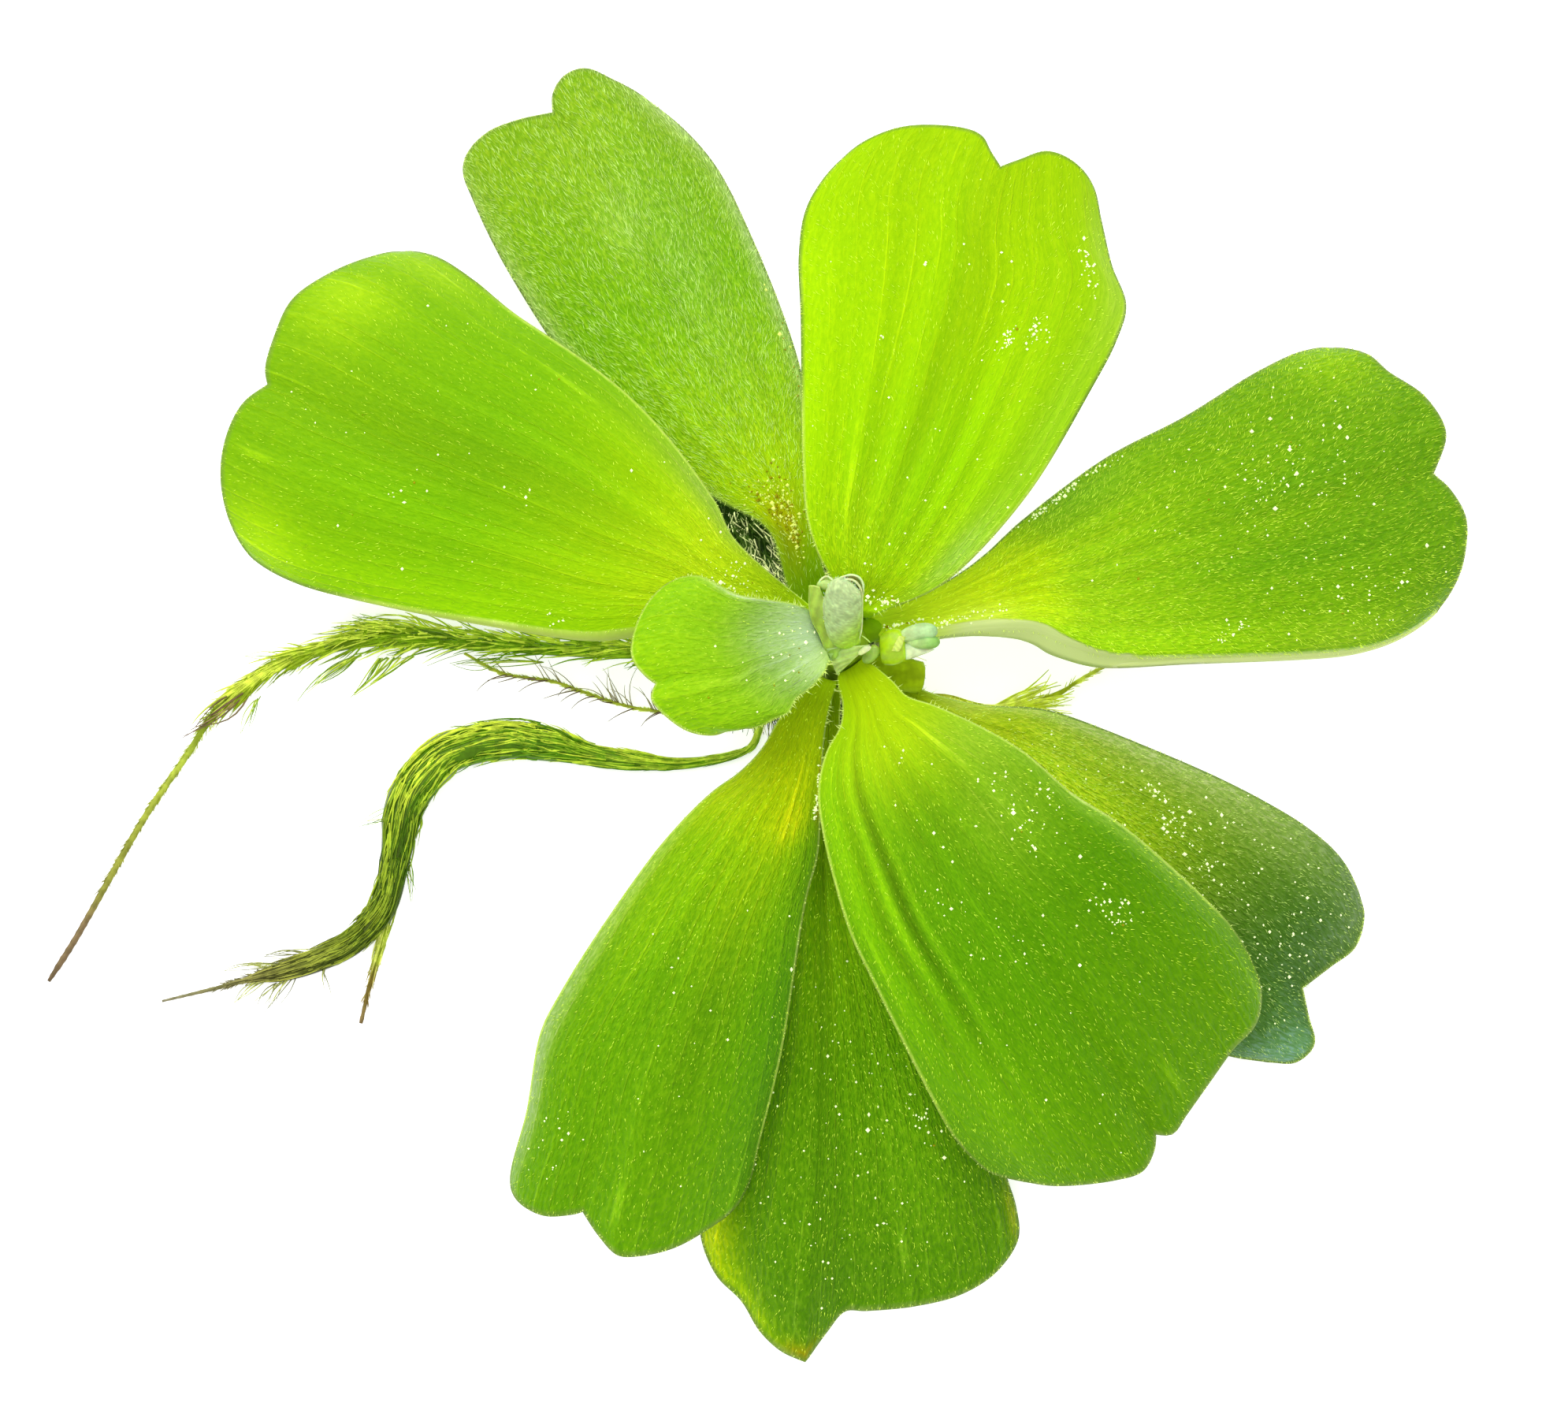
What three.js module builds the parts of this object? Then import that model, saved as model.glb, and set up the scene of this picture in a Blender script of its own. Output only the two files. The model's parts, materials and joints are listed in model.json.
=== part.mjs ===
// A water lettuce plant, picked and laid on a flat surface: a rosette of fan-shaped leaves on a short
// crown, with long feathery roots to one side. Millimetres, +X right, +Y away, +Z up. The origin is on
// the surface, straight below the crown.

import * as THREE from 'three';

// Crown: radius against height, on the plant's axis.
const CROWN_PROFILE = [[0, 3.1], [2.0, 3.1], [2.4, 4.2], [2.2, 6.0], [1.9, 7.2], [1.9, 9.6], [1.1, 10.6],
  [0, 11.4]];

// Sides of the crown and the root mat.
const ROUND_SIDES = 24;

// Mat of short roots under the crown: a flat-bottomed dome on an ellipse.
const TANGLE_CENTRE = [-5, 5];
const TANGLE_RADII = [11, 7.5];
const TANGLE_HEIGHT = 2.8;
const TANGLE_HEADING = 130;
const TANGLE_RINGS = 6;

// Grid of a leaf: rows along it and columns across it, the thickness of its rim, and the powers by which
// it thickens to the stalk and thins at its margins and its tip.
const LEAF_ROWS = 12;
const LEAF_COLUMNS = 12;
const RIM = 0.25;
const STALK_POWER = 3;
const MARGIN_POWER = 3;
const TIP_POWER = 12;

// Sheath round the furled leaf: an open ring.
const SHEATH = { centre: [0.2, 0.7], inner: 1.9, outer: 2.3, from: 100, to: 290, bottom: 13.4, height: 2.0 };

// Roots lie flattened on the surface: their height against their width.
const ROOT_FLATNESS = 0.6;
const ROOT_SIDES = 8;

// Rings of a tube between two of its stations.
const TUBE_STEPS = 2;

// Leaves. heading: degrees from +X, counterclockwise. stalk: where the leaf's own frame starts.
// left, leftLobe, rightLobe, right: its margin as [along, across] points of that frame, the lobes
// meeting at the notch, which falls on column notch. spine: heights of the midrib; edge: how far the
// margins stand above it; roll: how far the right side stands above it and the left side below.
// Each of the three is given at the stalk, at two handles and at the tip, as for a Bezier curve.
// thick: thickness at the stalk and in the blade.
const LEAVES = {
  leaf_upper_left: {
    heading: 115, stalk: [-1.5, 3], notch: 6, thick: [2.6, 1.0], colour: 0x73b428,
    spine: [6.0, 8.5, 8.5, 4.0], edge: [0.6, -0.6, -2.2, -1.6], roll: [0, 0, 0, 0],
    left: [[-0.1, 1.2], [3.0, 1.6], [8.2, 1.1], [12.1, 3.7], [17.3, 6.9], [23.5, 9.0], [36.9, 10.8],
      [44.3, 10.8], [46.9, 10.5]],
    leftLobe: [[46.9, 10.5], [47.9, 9.6], [48.6, 7.5], [48.4, 5.0], [47.7, 2.0]],
    rightLobe: [[47.7, 2.0], [49.2, 1.3], [50.2, -0.2], [50.1, -1.9], [48.5, -3.5], [45.6, -5.7]],
    right: [[0.1, -1.4], [3.5, -1.5], [9.7, -3.4], [18.4, -6.6], [31.1, -8.0], [38.9, -7.9], [45.6, -5.7]],
  },
  leaf_left: {
    heading: 162, stalk: [-2.5, 2], notch: 6, thick: [2.6, 1.0], colour: 0x82c814,
    spine: [8.6, 13.0, 15.5, 9.0], edge: [0.6, -0.4, -2.4, -2.0], roll: [0, 0, 0, 0],
    left: [[-0.4, 1.2], [4.0, 2.0], [8.8, 3.4], [13.3, 5.4], [16.2, 6.7], [22.3, 8.0], [35.0, 9.5],
      [40.5, 9.4], [44.5, 8.2]],
    leftLobe: [[44.5, 8.2], [46.8, 6.2], [48.5, 3.2], [49.1, 0.1], [48.7, -2.9], [47.3, -5.0]],
    rightLobe: [[47.3, -5.0], [47.9, -6.2], [48.1, -8.7], [47.8, -12.2], [46.1, -14.9], [43.4, -17.6],
      [41.0, -19.2]],
    right: [[0.3, -1.0], [5.2, -2.8], [8.1, -4.3], [10.4, -6.6], [19.1, -12.3], [30.5, -16.4],
      [34.5, -18.2], [38.3, -19.4], [41.0, -19.2]],
  },
  leaf_upper_right: {
    heading: 76, stalk: [1.5, 3], notch: 6, thick: [2.6, 1.0], colour: 0xa5e10a,
    spine: [11.0, 16.0, 23.0, 24.0], edge: [0.8, 0.5, -2.5, -1.5], roll: [0, 0, 0, 0],
    left: [[-0.6, 1.4], [0.8, 2.4], [2.5, 4.1], [5.0, 5.7], [8.6, 6.9], [19.5, 9.8], [24.1, 11.1],
      [27.4, 11.4], [29.9, 10.7], [31.9, 9.6]],
    leftLobe: [[31.9, 9.6], [33.6, 8.1], [35.3, 5.3], [36.1, 0.8], [35.8, -0.6], [34.8, -1.5], [33.7, -2.6]],
    rightLobe: [[33.7, -2.6], [34.7, -4.0], [35.9, -5.8], [35.8, -7.8], [34.6, -9.8]],
    right: [[-0.6, -1.1], [-0.1, -1.9], [1.9, -5.0], [4.4, -7.2], [11.3, -10.9], [19.5, -13.5],
      [23.4, -14.5], [26.2, -14.6], [28.9, -12.8], [32.0, -11.2], [34.6, -9.8]],
  },
  leaf_right: {
    heading: 14, stalk: [3, 1.5], notch: 6, thick: [3.4, 1.0], colour: 0x6eb414,
    spine: [8.0, 11.5, 14.0, 8.0], edge: [0.6, 0.0, -1.0, -1.6], roll: [0, 1.6, 1.6, 0.5],
    left: [[-0.6, 1.4], [2.4, 1.5], [6.9, 2.6], [9.4, 3.6], [13.1, 5.6], [20.5, 8.8], [27.5, 10.7],
      [34.8, 13.3], [38.7, 14.3], [41.1, 14.2]],
    leftLobe: [[41.1, 14.2], [43.6, 12.8], [44.8, 10.9], [46.9, 8.3], [47.8, 5.7], [47.7, 4.4], [45.9, 1.7]],
    rightLobe: [[45.9, 1.7], [46.9, 0.1], [47.5, -2.3], [47.0, -4.4], [45.8, -6.7], [43.6, -8.8]],
    right: [[-0.6, -0.6], [2.3, -1.5], [7.8, -2.4], [11.7, -3.7], [13.5, -5.2], [16.2, -6.9],
      [22.2, -8.5], [31.5, -10.4], [37.0, -10.9], [40.5, -10.3], [43.6, -8.8]],
  },
  leaf_lower_right_back: {
    heading: -37, stalk: [2.5, -2], notch: 6, thick: [2.6, 1.0], colour: 0x508c1e,
    spine: [5.6, 7.0, 9.5, 2.4], edge: [0.4, -0.6, -2.2, -1.4], roll: [0, 0, 0, 0],
    left: [[-0.3, 1.3], [2.2, 1.2], [5.5, 2.1], [8.4, 3.5], [12.1, 5.9], [17.0, 7.6], [30.3, 10.9],
      [35.1, 11.5], [38.5, 11.2], [41.5, 9.7]],
    leftLobe: [[41.5, 9.7], [42.5, 8.5], [43.2, 6.2], [42.6, 3.9], [41.8, 1.0]],
    rightLobe: [[41.8, 1.0], [43.6, -0.6], [45.2, -2.0], [44.9, -3.9], [43.1, -5.1]],
    right: [[-0.4, -0.7], [3.0, -0.9], [7.7, -1.8], [13.5, -3.4], [23.0, -5.7], [32.0, -7.3],
      [39.1, -7.2], [43.1, -5.1]],
  },
  leaf_lower_right_front: {
    heading: -56, stalk: [1.5, -2.5], notch: 5, thick: [2.8, 1.0], colour: 0x6eb40a,
    spine: [10.0, 18.0, 20.0, 9.0], edge: [0.6, 0.0, -3.0, -2.0], roll: [0, 0, 0, 0],
    left: [[-0.3, 1.3], [1.8, 1.4], [3.8, 1.5], [5.8, 2.8], [9.1, 4.6], [13.0, 6.3], [17.7, 7.6],
      [21.7, 9.4], [30.0, 12.1], [33.1, 12.8], [36.1, 12.8]],
    leftLobe: [[36.1, 12.8], [38.4, 11.9], [40.1, 10.1], [40.7, 7.6], [41.8, 4.6], [43.0, 1.4],
      [43.6, -0.3], [42.9, -1.4]],
    rightLobe: [[42.9, -1.4], [43.9, -2.3], [44.7, -3.9], [44.1, -6.0], [42.0, -9.8], [40.6, -11.4],
      [37.9, -13.6]],
    right: [[-0.9, -0.9], [-0.4, -1.9], [1.3, -2.7], [2.9, -4.0], [4.1, -6.1], [6.3, -8.4], [9.2, -10.0],
      [16.8, -12.7], [21.4, -13.4], [30.6, -14.4], [34.6, -14.5], [37.9, -13.6]],
  },
  leaf_bottom: {
    heading: -92, stalk: [-1, -3], notch: 8, thick: [2.0, 1.0], colour: 0x5aa014,
    spine: [5.2, 5.6, 9.0, 0.8], edge: [0.4, -0.6, -2.0, -0.4], roll: [0, 0, 0, 0],
    left: [[-0.4, 0.7], [5.2, 0.9], [11.5, 2.3], [15.3, 4.0], [20.2, 6.7], [31.2, 12.7], [38.2, 15.3],
      [40.1, 16.0], [42.5, 16.3]],
    leftLobe: [[42.5, 16.3], [45.2, 14.7], [47.1, 12.0], [48.2, 8.3], [48.7, 4.5], [48.8, 2.8],
      [50.5, 1.4], [52.9, -0.2]],
    rightLobe: [[52.9, -0.2], [52.1, -2.1], [50.6, -3.8], [48.3, -5.3], [46.4, -7.3], [44.0, -8.5],
      [42.2, -8.8]],
    right: [[-0.4, -0.8], [5.2, -0.6], [11.7, -1.9], [20.6, -3.6], [30.0, -6.1], [37.3, -8.0], [42.2, -8.8]],
  },
  leaf_lower_left: {
    heading: -114, stalk: [-2, -2.5], notch: 7, thick: [2.6, 1.0], colour: 0x73b414,
    spine: [8.4, 12.0, 15.6, 6.8], edge: [0.6, -0.4, -2.6, -2.0], roll: [0, 0, 0, 0],
    left: [[-0.3, 1.5], [0.8, 1.6], [4.1, 2.3], [10.1, 4.6], [13.4, 5.8], [16.9, 6.4], [28.8, 9.5],
      [35.4, 10.6], [38.4, 11.1]],
    leftLobe: [[38.4, 11.1], [40.9, 10.9], [43.4, 9.6], [45.7, 7.9], [47.4, 5.7], [48.0, 4.2],
      [47.2, 2.2], [46.0, 0.3]],
    rightLobe: [[46.0, 0.3], [46.6, -0.5], [47.5, -2.5], [47.2, -4.8], [46.0, -6.0]],
    right: [[-0.2, -0.4], [4.4, -1.3], [7.3, -1.6], [9.7, -2.4], [12.1, -3.7], [16.2, -5.2],
      [20.1, -6.2], [31.4, -8.1], [34.7, -8.3], [40.6, -6.9], [46.0, -6.0]],
  },
  young_leaf: {
    heading: -172, stalk: [-1.5, 0.5], notch: 6, thick: [1.6, 0.8], colour: 0x8cd71e,
    spine: [12.6, 16.0, 19.5, 16.0], edge: [0.5, 0.2, -1.2, -0.8], roll: [0, 0, 0, 0],
    left: [[0.0, 2.4], [0.5, 3.4], [1.9, 4.9], [3.1, 5.7], [3.9, 6.8], [4.9, 7.1], [6.5, 7.5], [8.3, 7.2]],
    leftLobe: [[8.3, 7.2], [9.9, 7.5], [11.7, 7.0], [13.3, 5.6], [14.2, 4.1], [13.7, 3.0]],
    rightLobe: [[13.7, 3.0], [14.4, 2.3], [15.2, 0.9], [15.2, -0.2], [14.4, -2.2], [13.1, -3.9],
      [11.3, -5.1]],
    right: [[0.3, -0.7], [1.0, -1.5], [2.6, -2.1], [6.2, -2.9], [7.5, -3.7], [8.8, -4.7], [9.6, -5.1],
      [11.3, -5.1]],
  },
};

// Roots on the surface, as [x, y, half width] along each.
const ROOTS = {
  root_upper: {
    colour: 0xa0aa28,
    path: [[-12.6, 1.4, 0.8], [-16.8, 1.3, 1.6], [-23.4, 1.5, 1.4], [-29.8, 2.0, 1.5], [-36.1, 2.4, 2.1],
      [-39.3, 2.1, 1.9], [-42.5, 1.2, 1.3], [-45.7, -0.1, 1.2], [-49.4, -2.8, 1.2], [-51.0, -4.4, 0.9],
      [-52.6, -6.9, 0.3], [-56.0, -12.1, 0.3], [-60.5, -20.4, 0.2], [-63.5, -25.5, 0.1]],
  },
  root_brown: {
    colour: 0x6e503c,
    path: [[-27.8, -0.3, 0.2], [-26.3, -0.7, 0.2], [-23.4, -1.1, 0.2], [-20.3, -2.2, 0.2],
      [-17.1, -3.2, 0.2], [-13.9, -3.6, 0.2], [-11.4, -3.2, 0.2], [-9.9, -2.0, 0.2]],
  },
  root_lower: {
    colour: 0x5a821e,
    path: [[-6.4, -4.3, 0.3], [-7.4, -6.5, 0.3], [-10.7, -7.6, 0.4], [-13.3, -7.9, 0.5], [-17.1, -7.6, 0.9],
      [-20.2, -7.2, 1.0], [-23.4, -6.4, 1.6], [-27.2, -6.1, 1.8], [-31.6, -7.2, 1.9], [-33.6, -9.1, 2.0],
      [-35.0, -11.6, 1.9], [-35.8, -15.7, 1.4], [-36.8, -19.6, 1.3], [-39.2, -22.4, 1.2],
      [-42.2, -23.9, 1.1], [-45.9, -25.0, 0.9], [-48.5, -25.5, 0.4], [-54.4, -27.1, 0.1]],
  },
  root_lower_fork: {
    colour: 0x8c9628,
    path: [[-35.3, -21.5, 0.3], [-36.5, -23.3, 0.4], [-37.4, -25.0, 0.4], [-37.9, -26.7, 0.2],
      [-38.4, -28.9, 0.1]],
  },
  root_right: {
    colour: 0x96a028,
    path: [[3.9, -2.6, 0.2], [8.1, -2.3, 0.2], [11.5, -3.2, 0.2], [14.0, -3.2, 0.4], [15.9, -2.8, 1.0],
      [17.7, -2.0, 0.9], [19.1, -1.0, 0.2], [20.7, -0.1, 0.2], [22.7, 0.9, 0.1]],
  },
};

// Furled leaf and side bud, as [x, y, z, half width] along each, and their thickness against their width.
const SHOOT_SIDES = 12;
const SHOOTS = {
  furled_leaf: {
    flatness: 0.55, colour: 0xaacda0,
    path: [[0.1, -0.5, 12.0, 0.9], [0.1, -0.1, 13.5, 1.3], [0.1, 0.8, 15.5, 1.45], [0.1, 2.0, 17.5, 1.4],
      [0.3, 3.0, 19.0, 1.1]],
  },
  side_bud: {
    flatness: 0.8, colour: 0x96c85a,
    path: [[2.9, -0.2, 11.0, 0.7], [4.2, -0.3, 11.4, 1.3], [6.0, -0.1, 12.0, 1.2], [7.4, 0.1, 12.5, 0.6]],
  },
};

const AXIS = new THREE.Vector3(0, 0, 1);
const plant = new THREE.Group();

function add(name, geometry, colour) {
  const material = new THREE.MeshStandardMaterial({ color: colour, roughness: 0.6, metalness: 0 });
  const mesh = new THREE.Mesh(geometry, material);
  mesh.name = name;
  plant.add(mesh);
  return mesh;
}

// A smooth curve through points given as [x, y] or [x, y, z].
function curveThrough(points) {
  return new THREE.CatmullRomCurve3(points.map(([x, y, z = 0]) => new THREE.Vector3(x, y, z)));
}

// The value at t of the Bezier curve with these four control values.
function bezier(values, t) {
  const curve = new THREE.CubicBezierCurve(...values.map((value) => new THREE.Vector2(value, 0)));
  return curve.getPoint(t).x;
}

// A round solid from [radius, height] points that start and end on the axis.
function turned(profile, sides) {
  const geometry = new THREE.LatheGeometry(profile.map(([r, z]) => new THREE.Vector2(r, z)), sides);
  return geometry.rotateX(Math.PI / 2);
}

// The plan position in the leaf at row s (0 stalk, 1 tip) and column v (0 left, 1 right): the patch
// stretched between the two margins, the stalk's end and the two lobes.
function leafPlan(leaf, s, v) {
  const notch = leaf.notch / LEAF_COLUMNS;
  const tip = v <= notch
    ? leaf.curves.leftLobe.getPointAt(v / notch)
    : leaf.curves.rightLobe.getPointAt((v - notch) / (1 - notch));
  const ends = [leaf.curves.left, leaf.curves.right].map((side) => side.getPointAt(s));
  const stalk = [leaf.curves.left, leaf.curves.right].map((side) => side.getPoint(0));
  const shoulder = [leaf.curves.left, leaf.curves.right].map((side) => side.getPoint(1));
  const across = ends[0].clone().lerp(ends[1], v);
  const along = stalk[0].clone().lerp(stalk[1], v).lerp(tip, s);
  const corners = stalk[0].clone().lerp(stalk[1], v).lerp(shoulder[0].clone().lerp(shoulder[1], v), s);
  return across.add(along).sub(corners);
}

// Height of the upper face at row s and place u across (-1 left, 1 right).
function leafHeight(leaf, s, u) {
  return bezier(leaf.spine, s) + bezier(leaf.edge, s) * u * u + bezier(leaf.roll, s) * u;
}

// Thickness there: thick at the stalk and midrib, down to the rim at the margins and the tip.
function leafThickness(leaf, s, u) {
  const [stalk, blade] = leaf.thick;
  const body = blade + (stalk - blade) * (1 - s) ** STALK_POWER;
  const taper = Math.sqrt(1 - Math.abs(u) ** MARGIN_POWER) * Math.sqrt(1 - s ** TIP_POWER);
  return RIM + (body - RIM) * taper;
}

// A leaf: a flat box of many cells, bent to the leaf's outline and heights. Box x goes across, y along.
function leafGeometry(leaf) {
  leaf.curves = {};
  for (const part of ['left', 'leftLobe', 'rightLobe', 'right']) {
    leaf.curves[part] = curveThrough(leaf[part]);
  }
  const geometry = new THREE.BoxGeometry(2, 1, 1, LEAF_COLUMNS, LEAF_ROWS, 1);
  const position = geometry.getAttribute('position');
  for (let i = 0; i < position.count; i += 1) {
    const u = position.getX(i);
    const s = position.getY(i) + 0.5;
    const place = leafPlan(leaf, s, (u + 1) / 2);
    const drop = position.getZ(i) > 0 ? 0 : leafThickness(leaf, s, u);
    position.setXYZ(i, place.x, place.y, leafHeight(leaf, s, u) - drop);
  }
  return geometry;
}

// A tapering tube with closed ends: a cylinder of many rings, bent along [x, y, z, half width] stations.
function bentTube(stations, flatness, sides) {
  const rings = (stations.length - 1) * TUBE_STEPS;
  const path = curveThrough(stations);
  const geometry = new THREE.CylinderGeometry(1, 1, 1, sides, rings);
  const position = geometry.getAttribute('position');
  for (let i = 0; i < position.count; i += 1) {
    const t = position.getY(i) + 0.5;
    const centre = path.getPoint(t);
    const before = Math.min(Math.floor(t * (stations.length - 1)), stations.length - 2);
    const share = t * (stations.length - 1) - before;
    const radius = THREE.MathUtils.lerp(stations[before][3], stations[before + 1][3], share);
    const tangent = path.getTangent(t);
    const side = tangent.clone().cross(AXIS).normalize();
    const up = side.clone().cross(tangent);
    centre.addScaledVector(side, position.getX(i) * radius);
    centre.addScaledVector(up, position.getZ(i) * radius * flatness);
    position.setXYZ(i, centre.x, centre.y, Math.max(centre.z, 0));
  }
  return geometry;
}

// An open ring seen from above, standing to its height.
function openRing({ centre, inner, outer, from, to, height }) {
  const [start, end] = [from, to].map(THREE.MathUtils.degToRad);
  const shape = new THREE.Shape();
  shape.absarc(...centre, outer, start, end, false);
  shape.absarc(...centre, inner, end, start, true);
  const options = { depth: height, bevelEnabled: false, curveSegments: ROUND_SIDES / 2 };
  return new THREE.ExtrudeGeometry(shape, options);
}

add('crown', turned(CROWN_PROFILE, ROUND_SIDES), 0x96b428);

// A quarter circle from the rim of the dome up to its top, on the axis.
const dome = Array.from({ length: TANGLE_RINGS }, (_, i) => {
  const angle = (i / TANGLE_RINGS) * (Math.PI / 2);
  return [Math.cos(angle), Math.sin(angle)];
});
const tangle = add('root_tangle', turned([[0, 0], ...dome, [0, 1]], ROUND_SIDES), 0x28320f);
tangle.scale.set(...TANGLE_RADII, TANGLE_HEIGHT);
tangle.rotation.z = THREE.MathUtils.degToRad(TANGLE_HEADING);
tangle.position.set(...TANGLE_CENTRE, 0);

for (const [name, leaf] of Object.entries(LEAVES)) {
  const mesh = add(name, leafGeometry(leaf), leaf.colour);
  mesh.rotation.z = THREE.MathUtils.degToRad(leaf.heading);
  mesh.position.set(...leaf.stalk, 0);
}

for (const [name, { colour, path }] of Object.entries(ROOTS)) {
  const stations = path.map(([x, y, half]) => [x, y, half * ROOT_FLATNESS, half]);
  add(name, bentTube(stations, ROOT_FLATNESS, ROOT_SIDES), colour);
}

for (const [name, { colour, path, flatness }] of Object.entries(SHOOTS)) {
  add(name, bentTube(path, flatness, SHOOT_SIDES), colour);
}

const sheath = add('leaf_sheath', openRing(SHEATH), 0x96c850);
sheath.position.z = SHEATH.bottom;

export default plant;
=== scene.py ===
# %% [markdown]
# A picked water lettuce plant
#
# The plant is a rosette of fan-shaped, velvety leaves on a short crown, with long feathery roots. The
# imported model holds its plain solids. Each one is replaced here by a fine mesh that is worked out from
# the same few dimensions: the margins of a leaf, the heights of its midrib, the path of a root. Every
# shape is a function of two parameters, computed as whole numpy arrays.

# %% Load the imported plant
import json
import math

import bpy
import numpy as np
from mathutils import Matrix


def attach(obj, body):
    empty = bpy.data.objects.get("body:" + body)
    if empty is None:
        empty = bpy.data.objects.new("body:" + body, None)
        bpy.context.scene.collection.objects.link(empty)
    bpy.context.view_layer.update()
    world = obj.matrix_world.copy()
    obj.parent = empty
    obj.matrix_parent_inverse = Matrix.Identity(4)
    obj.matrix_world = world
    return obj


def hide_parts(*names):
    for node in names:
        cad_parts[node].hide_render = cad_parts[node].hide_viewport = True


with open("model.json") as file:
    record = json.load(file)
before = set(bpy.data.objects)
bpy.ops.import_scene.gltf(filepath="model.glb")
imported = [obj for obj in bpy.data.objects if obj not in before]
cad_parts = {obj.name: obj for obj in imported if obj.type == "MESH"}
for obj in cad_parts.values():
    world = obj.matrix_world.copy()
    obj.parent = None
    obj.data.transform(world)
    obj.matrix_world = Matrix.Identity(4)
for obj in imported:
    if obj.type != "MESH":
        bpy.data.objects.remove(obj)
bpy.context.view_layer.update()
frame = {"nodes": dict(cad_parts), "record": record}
MM = 0.001
rng = np.random.default_rng(11)
print("pieces in the frame:", len(frame["nodes"]))

# %% [markdown]
# The camera looks almost straight down, from a little to the near side, as the photograph does. A long
# lens from half a metre keeps the leaves nearly free of perspective.

# %% Camera
FRAME_PIXELS = (1990, 1803)
CAMERA_DISTANCE = 500.0
CAMERA_TILT = 11.0
VIEW_WIDTH = 124.4
VIEW_CENTRE = (-4.7, -5.0, 8.0)
SENSOR_WIDTH = 36.0
FAR_CLIP = 10.0

tilt = math.radians(CAMERA_TILT)
camera_data = bpy.data.cameras.new("camera")
camera_data.sensor_width = SENSOR_WIDTH
camera_data.lens = SENSOR_WIDTH * CAMERA_DISTANCE / VIEW_WIDTH
camera_data.clip_end = FAR_CLIP
camera = bpy.data.objects.new("camera", camera_data)
camera.location = (
    VIEW_CENTRE[0] * MM,
    (VIEW_CENTRE[1] - CAMERA_DISTANCE * math.sin(tilt)) * MM,
    (VIEW_CENTRE[2] + CAMERA_DISTANCE * math.cos(tilt)) * MM,
)
camera.rotation_euler = (tilt, 0, 0)
bpy.context.scene.collection.objects.link(camera)
bpy.context.scene.camera = camera
print("lens in mm:", round(camera_data.lens, 1), "pixels to a mm:", round(FRAME_PIXELS[0] / VIEW_WIDTH, 1))

# %% [markdown]
# The plant lies on plain white under a bright, even sky, with one large soft lamp above and behind it
# that gives the leaves a light side and a shaded side. The Standard view keeps the greens as saturated
# as they are in full light. The floor is a little self-lit, so that it stays white in the plant's shade.

# %% Floor and light
SKY_STRENGTH = 1.26
LAMP_SIZE = 700.0
LAMP_PLACE = (-200.0, 350.0, 550.0)
LAMP_POWER = 3.8
FLOOR_GLOW = 0.62
FLOOR_WHITE = 0.7
FLOOR_ROUGHNESS = 0.9
FLOOR_HEIGHT = -0.02
FLOOR_SIZE = 3000.0
WHITE = (1.0, 1.0, 1.0, 1.0)


def set_sockets(node, values):
    """Plain values on a node's own sockets, by name."""
    for key, value in values.items():
        node.inputs[key].default_value = value


scene = bpy.context.scene
scene.view_settings.view_transform = "Standard"
scene.view_settings.look = "None"

world = bpy.data.worlds.new("white_sky")
world.use_nodes = True
set_sockets(world.node_tree.nodes["Background"], {"Color": WHITE, "Strength": SKY_STRENGTH})
scene.world = world

lamp_data = bpy.data.lights.new("soft_lamp", "AREA")
lamp_data.size = LAMP_SIZE * MM
lamp_data.energy = LAMP_POWER
lamp = bpy.data.objects.new("soft_lamp", lamp_data)
lamp.location = [c * MM for c in LAMP_PLACE]
lamp_x, lamp_y, lamp_z = LAMP_PLACE
lamp.rotation_euler = (-math.atan2(lamp_y, lamp_z), math.atan2(lamp_x, lamp_z), 0)
scene.collection.objects.link(lamp)

floor_material = bpy.data.materials.new("white_floor")
floor_material.use_nodes = True
set_sockets(floor_material.node_tree.nodes["Principled BSDF"], {
    "Base Color": (FLOOR_WHITE, FLOOR_WHITE, FLOOR_WHITE, 1.0), "Roughness": FLOOR_ROUGHNESS,
    "Specular IOR Level": 0.0, "Emission Color": WHITE, "Emission Strength": FLOOR_GLOW})
half_floor = FLOOR_SIZE * MM / 2
floor_mesh = bpy.data.meshes.new("floor")
floor_mesh.from_pydata(
    [(x * half_floor, y * half_floor, FLOOR_HEIGHT * MM) for x, y in ((-1, -1), (1, -1), (1, 1), (-1, 1))],
    [],
    [(0, 1, 2, 3)],
)
floor = bpy.data.objects.new("floor", floor_mesh)
floor.data.materials.append(floor_material)
scene.collection.objects.link(floor)
print("floor in mm:", FLOOR_SIZE, "lamp in mm:", LAMP_SIZE)

# %% [markdown]
# The leaves and roots are drawn from margins and paths of a few points each. A smooth curve of cubic
# stretches goes through every point. Its knots lie closer together where the points do, so it doesn't
# overshoot there, such as at the lobes of a leaf.

# %% Curves through points
CURVE_STEPS = 24


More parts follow.
